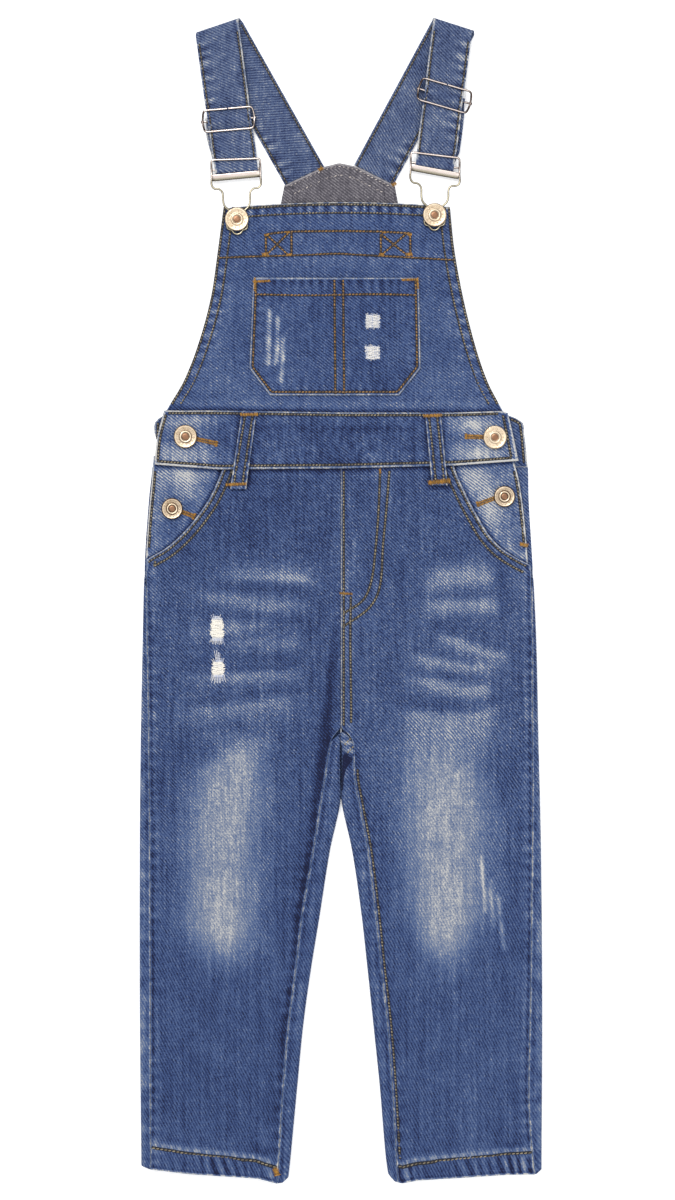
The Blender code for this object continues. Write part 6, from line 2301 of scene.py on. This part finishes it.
def build_cloth(olive):
    legs = denim("denim_legs", 0.325, contrast=0.95, rubbed=0.35, mottle=0.12, bars=0.22)
    facings = denim("denim_facings", 0.56, contrast=0.9, rubbed=0.5, mottle=0.20)
    bib = denim("denim_bib", 0.388, contrast=0.85, mottle=0.14)
    pocket = denim("denim_pocket", 0.335, contrast=0.85, rubbed=0.4, bars=0.18)
    band = denim("denim_band", 0.325, contrast=0.9, rubbed=0.5, mottle=0.28, bars=0.28)
    strap_cloth = denim("denim_strap", 0.46, contrast=0.85, stops=dulled(INDIGO, 0.20), mottle=0.20,
                        bared=0.40)
    inside = denim("denim_inside", 0.48, contrast=0.9, stops=GREYS)
    for side in SIGN:
        behind = back_leg(side, legs)
        pocket_facing(side, facings)
        front_leg(side, legs)
    crotch_gather(legs, olive, behind)
    back_waistband(band)
    back_bib(inside)
    front_bib(bib)
    bib_pocket(pocket)
    front_waistband(band)
    for loop in LOOPS:
        belt_loop(loop, band)
    return [(*strap(lie, strap_cloth), lie.width_front) for lie in STRAPS]


def build_metal():
    # The last colour is the dark one painted on the wires' flanks as their shade.
    silver = plated("plated_wire", linear(240, 226, 218), linear(206, 186, 176),
                    linear(172, 164, 142), linear(66, 52, 46), 0.24)
    brass = button_metal("button_gold")
    for side in SIGN:
        slider(side, silver)
        buckle(side, silver)
    for place in BUTTONS:
        button(place, brass)


# Each thread's lit and shaded colour; the shaded one paints the shade in the dips of its plies. The
# dark strips under stitch rows paint shade, with the unfaded dye round the stitches.
THREAD_DYES_LIT_AND_SHADED = (
    ("olive", (150, 138, 112), (72, 64, 56)),
    ("gold", (158, 118, 66), (78, 60, 42)),
    ("mustard", (176, 126, 42), (92, 64, 22)),
    ("pale", (206, 196, 188), (120, 112, 116)),
    ("dark", (62, 58, 70), (36, 34, 44)),
    ("channel", (26, 27, 38), (16, 17, 26)),
    ("cotton", (240, 234, 222), (158, 168, 196)),
)


def build_sewing(olive, strap_grids):
    gold, tack, pale, dark, dye_and_shade_strips, cotton = (Sewing() for _ in range(6))
    sew_legs(olive, dye_and_shade_strips)
    sew_facings(olive, dye_and_shade_strips)
    sew_band(olive, dye_and_shade_strips)
    sew_bib(gold, olive, dye_and_shade_strips)
    sew_pocket(gold, dye_and_shade_strips)
    sew_straps(olive, dye_and_shade_strips, strap_grids)
    sew_tacks(tack, dye_and_shade_strips)
    sew_yoke(pale, dark)
    for k, rip in enumerate(LEG_RIP_THREADS):
        bare_threads(cotton, rip, leg_surface("left"), 400 + k, False)
    fringes(cotton, leg_surface("left"))
    for k, rip in enumerate(POCKET_RIP_THREADS):
        bare_threads(cotton, rip, pocket_surface, 410 + k, True)
    sewn = (olive, gold, tack, pale, dark, dye_and_shade_strips, cotton)
    for sewing, (name, lit, shaded) in zip(sewn, THREAD_DYES_LIT_AND_SHADED):
        sewing.finish("thread_" + name, thread("thread_" + name, linear(*lit), linear(*shaded)))


# ---------------------------------------------------------------- studio
CAMERA_PLACE = (-0.00252, 0.00036, 2.040)
LENS = 85.0                      # mm, as is the sensor's width
FLOOR_HALF = 2.4                 # metres
FLOOR_Z = -0.0002                # clear of the cloth that lies on it
CELLS = 8                        # along each side of the floor


def floor(surface):
    mesh = bpy.data.meshes.new("floor")
    places = np.linspace(-FLOOR_HALF, FLOOR_HALF, CELLS + 1)
    x, y = np.meshgrid(places, places)
    points = np.stack([x, y, 0 * x + FLOOR_Z], axis=-1).reshape(-1, 3)
    k = (np.arange(CELLS)[:, None] * (CELLS + 1) + np.arange(CELLS)[None, :]).ravel()
    faces = np.stack([k, k + 1, k + CELLS + 2, k + CELLS + 1], axis=1)
    mesh.from_pydata(points.tolist(), [], faces.tolist())
    item = bpy.data.objects.new("floor", mesh)
    bpy.context.scene.collection.objects.link(item)
    mesh.materials.append(surface)


def softbox(name, place, aim, size, power):
    lamp = bpy.data.lights.new(name, "AREA")
    lamp.shape = "DISK"
    lamp.size = size
    lamp.energy = power
    item = bpy.data.objects.new(name, lamp)
    bpy.context.scene.collection.objects.link(item)
    item.location = place
    item.rotation_mode = "QUATERNION"
    item.rotation_quaternion = (Vector(aim) - Vector(place)).to_track_quat("-Z", "Y")


def studio():
    scene = bpy.context.scene
    world = bpy.data.worlds.new("studio")
    world.use_nodes = True
    tree = world.node_tree
    background = tree.nodes["Background"]
    direction = tree.nodes.new("ShaderNodeTexCoord").outputs["Generated"]
    split = tree.nodes.new("ShaderNodeSeparateXYZ")
    tree.links.new(direction, split.inputs[0])
    height = tree.nodes.new("ShaderNodeMapRange")
    height.interpolation_type = "SMOOTHSTEP"
    for value, socket in zip((0.10, 0.75, 0.22, 1.0), list(height.inputs)[1:5]):
        socket.default_value = value
    tree.links.new(split.outputs["Z"], height.inputs["Value"])
    power = tree.nodes.new("ShaderNodeMath")
    power.operation = "MULTIPLY"
    power.inputs[1].default_value = 1.10
    tree.links.new(height.outputs[0], power.inputs[0])
    background.inputs["Color"].default_value = (0.98, 0.99, 1.0, 1.0)
    tree.links.new(power.outputs[0], background.inputs["Strength"])
    scene.world = world
    softbox("key", (-0.7, 1.3, 2.2), (0.0, 0.0, 0.0), 1.3, 31.0)
    softbox("fill", (1.2, -0.9, 1.8), (0.0, 0.0, 0.0), 1.6, 9.0)
    scene.view_settings.view_transform = "Standard"
    camera = bpy.data.cameras.new("overhead")
    camera.lens = LENS
    camera.sensor_width = 36.0
    item = bpy.data.objects.new("overhead", camera)
    scene.collection.objects.link(item)
    item.location = CAMERA_PLACE
    scene.camera = item


olive_sewing = Sewing()
strap_grids = build_cloth(olive_sewing)
build_metal()
build_sewing(olive_sewing, strap_grids)
floor(floor_paper("floor_board"))
studio()
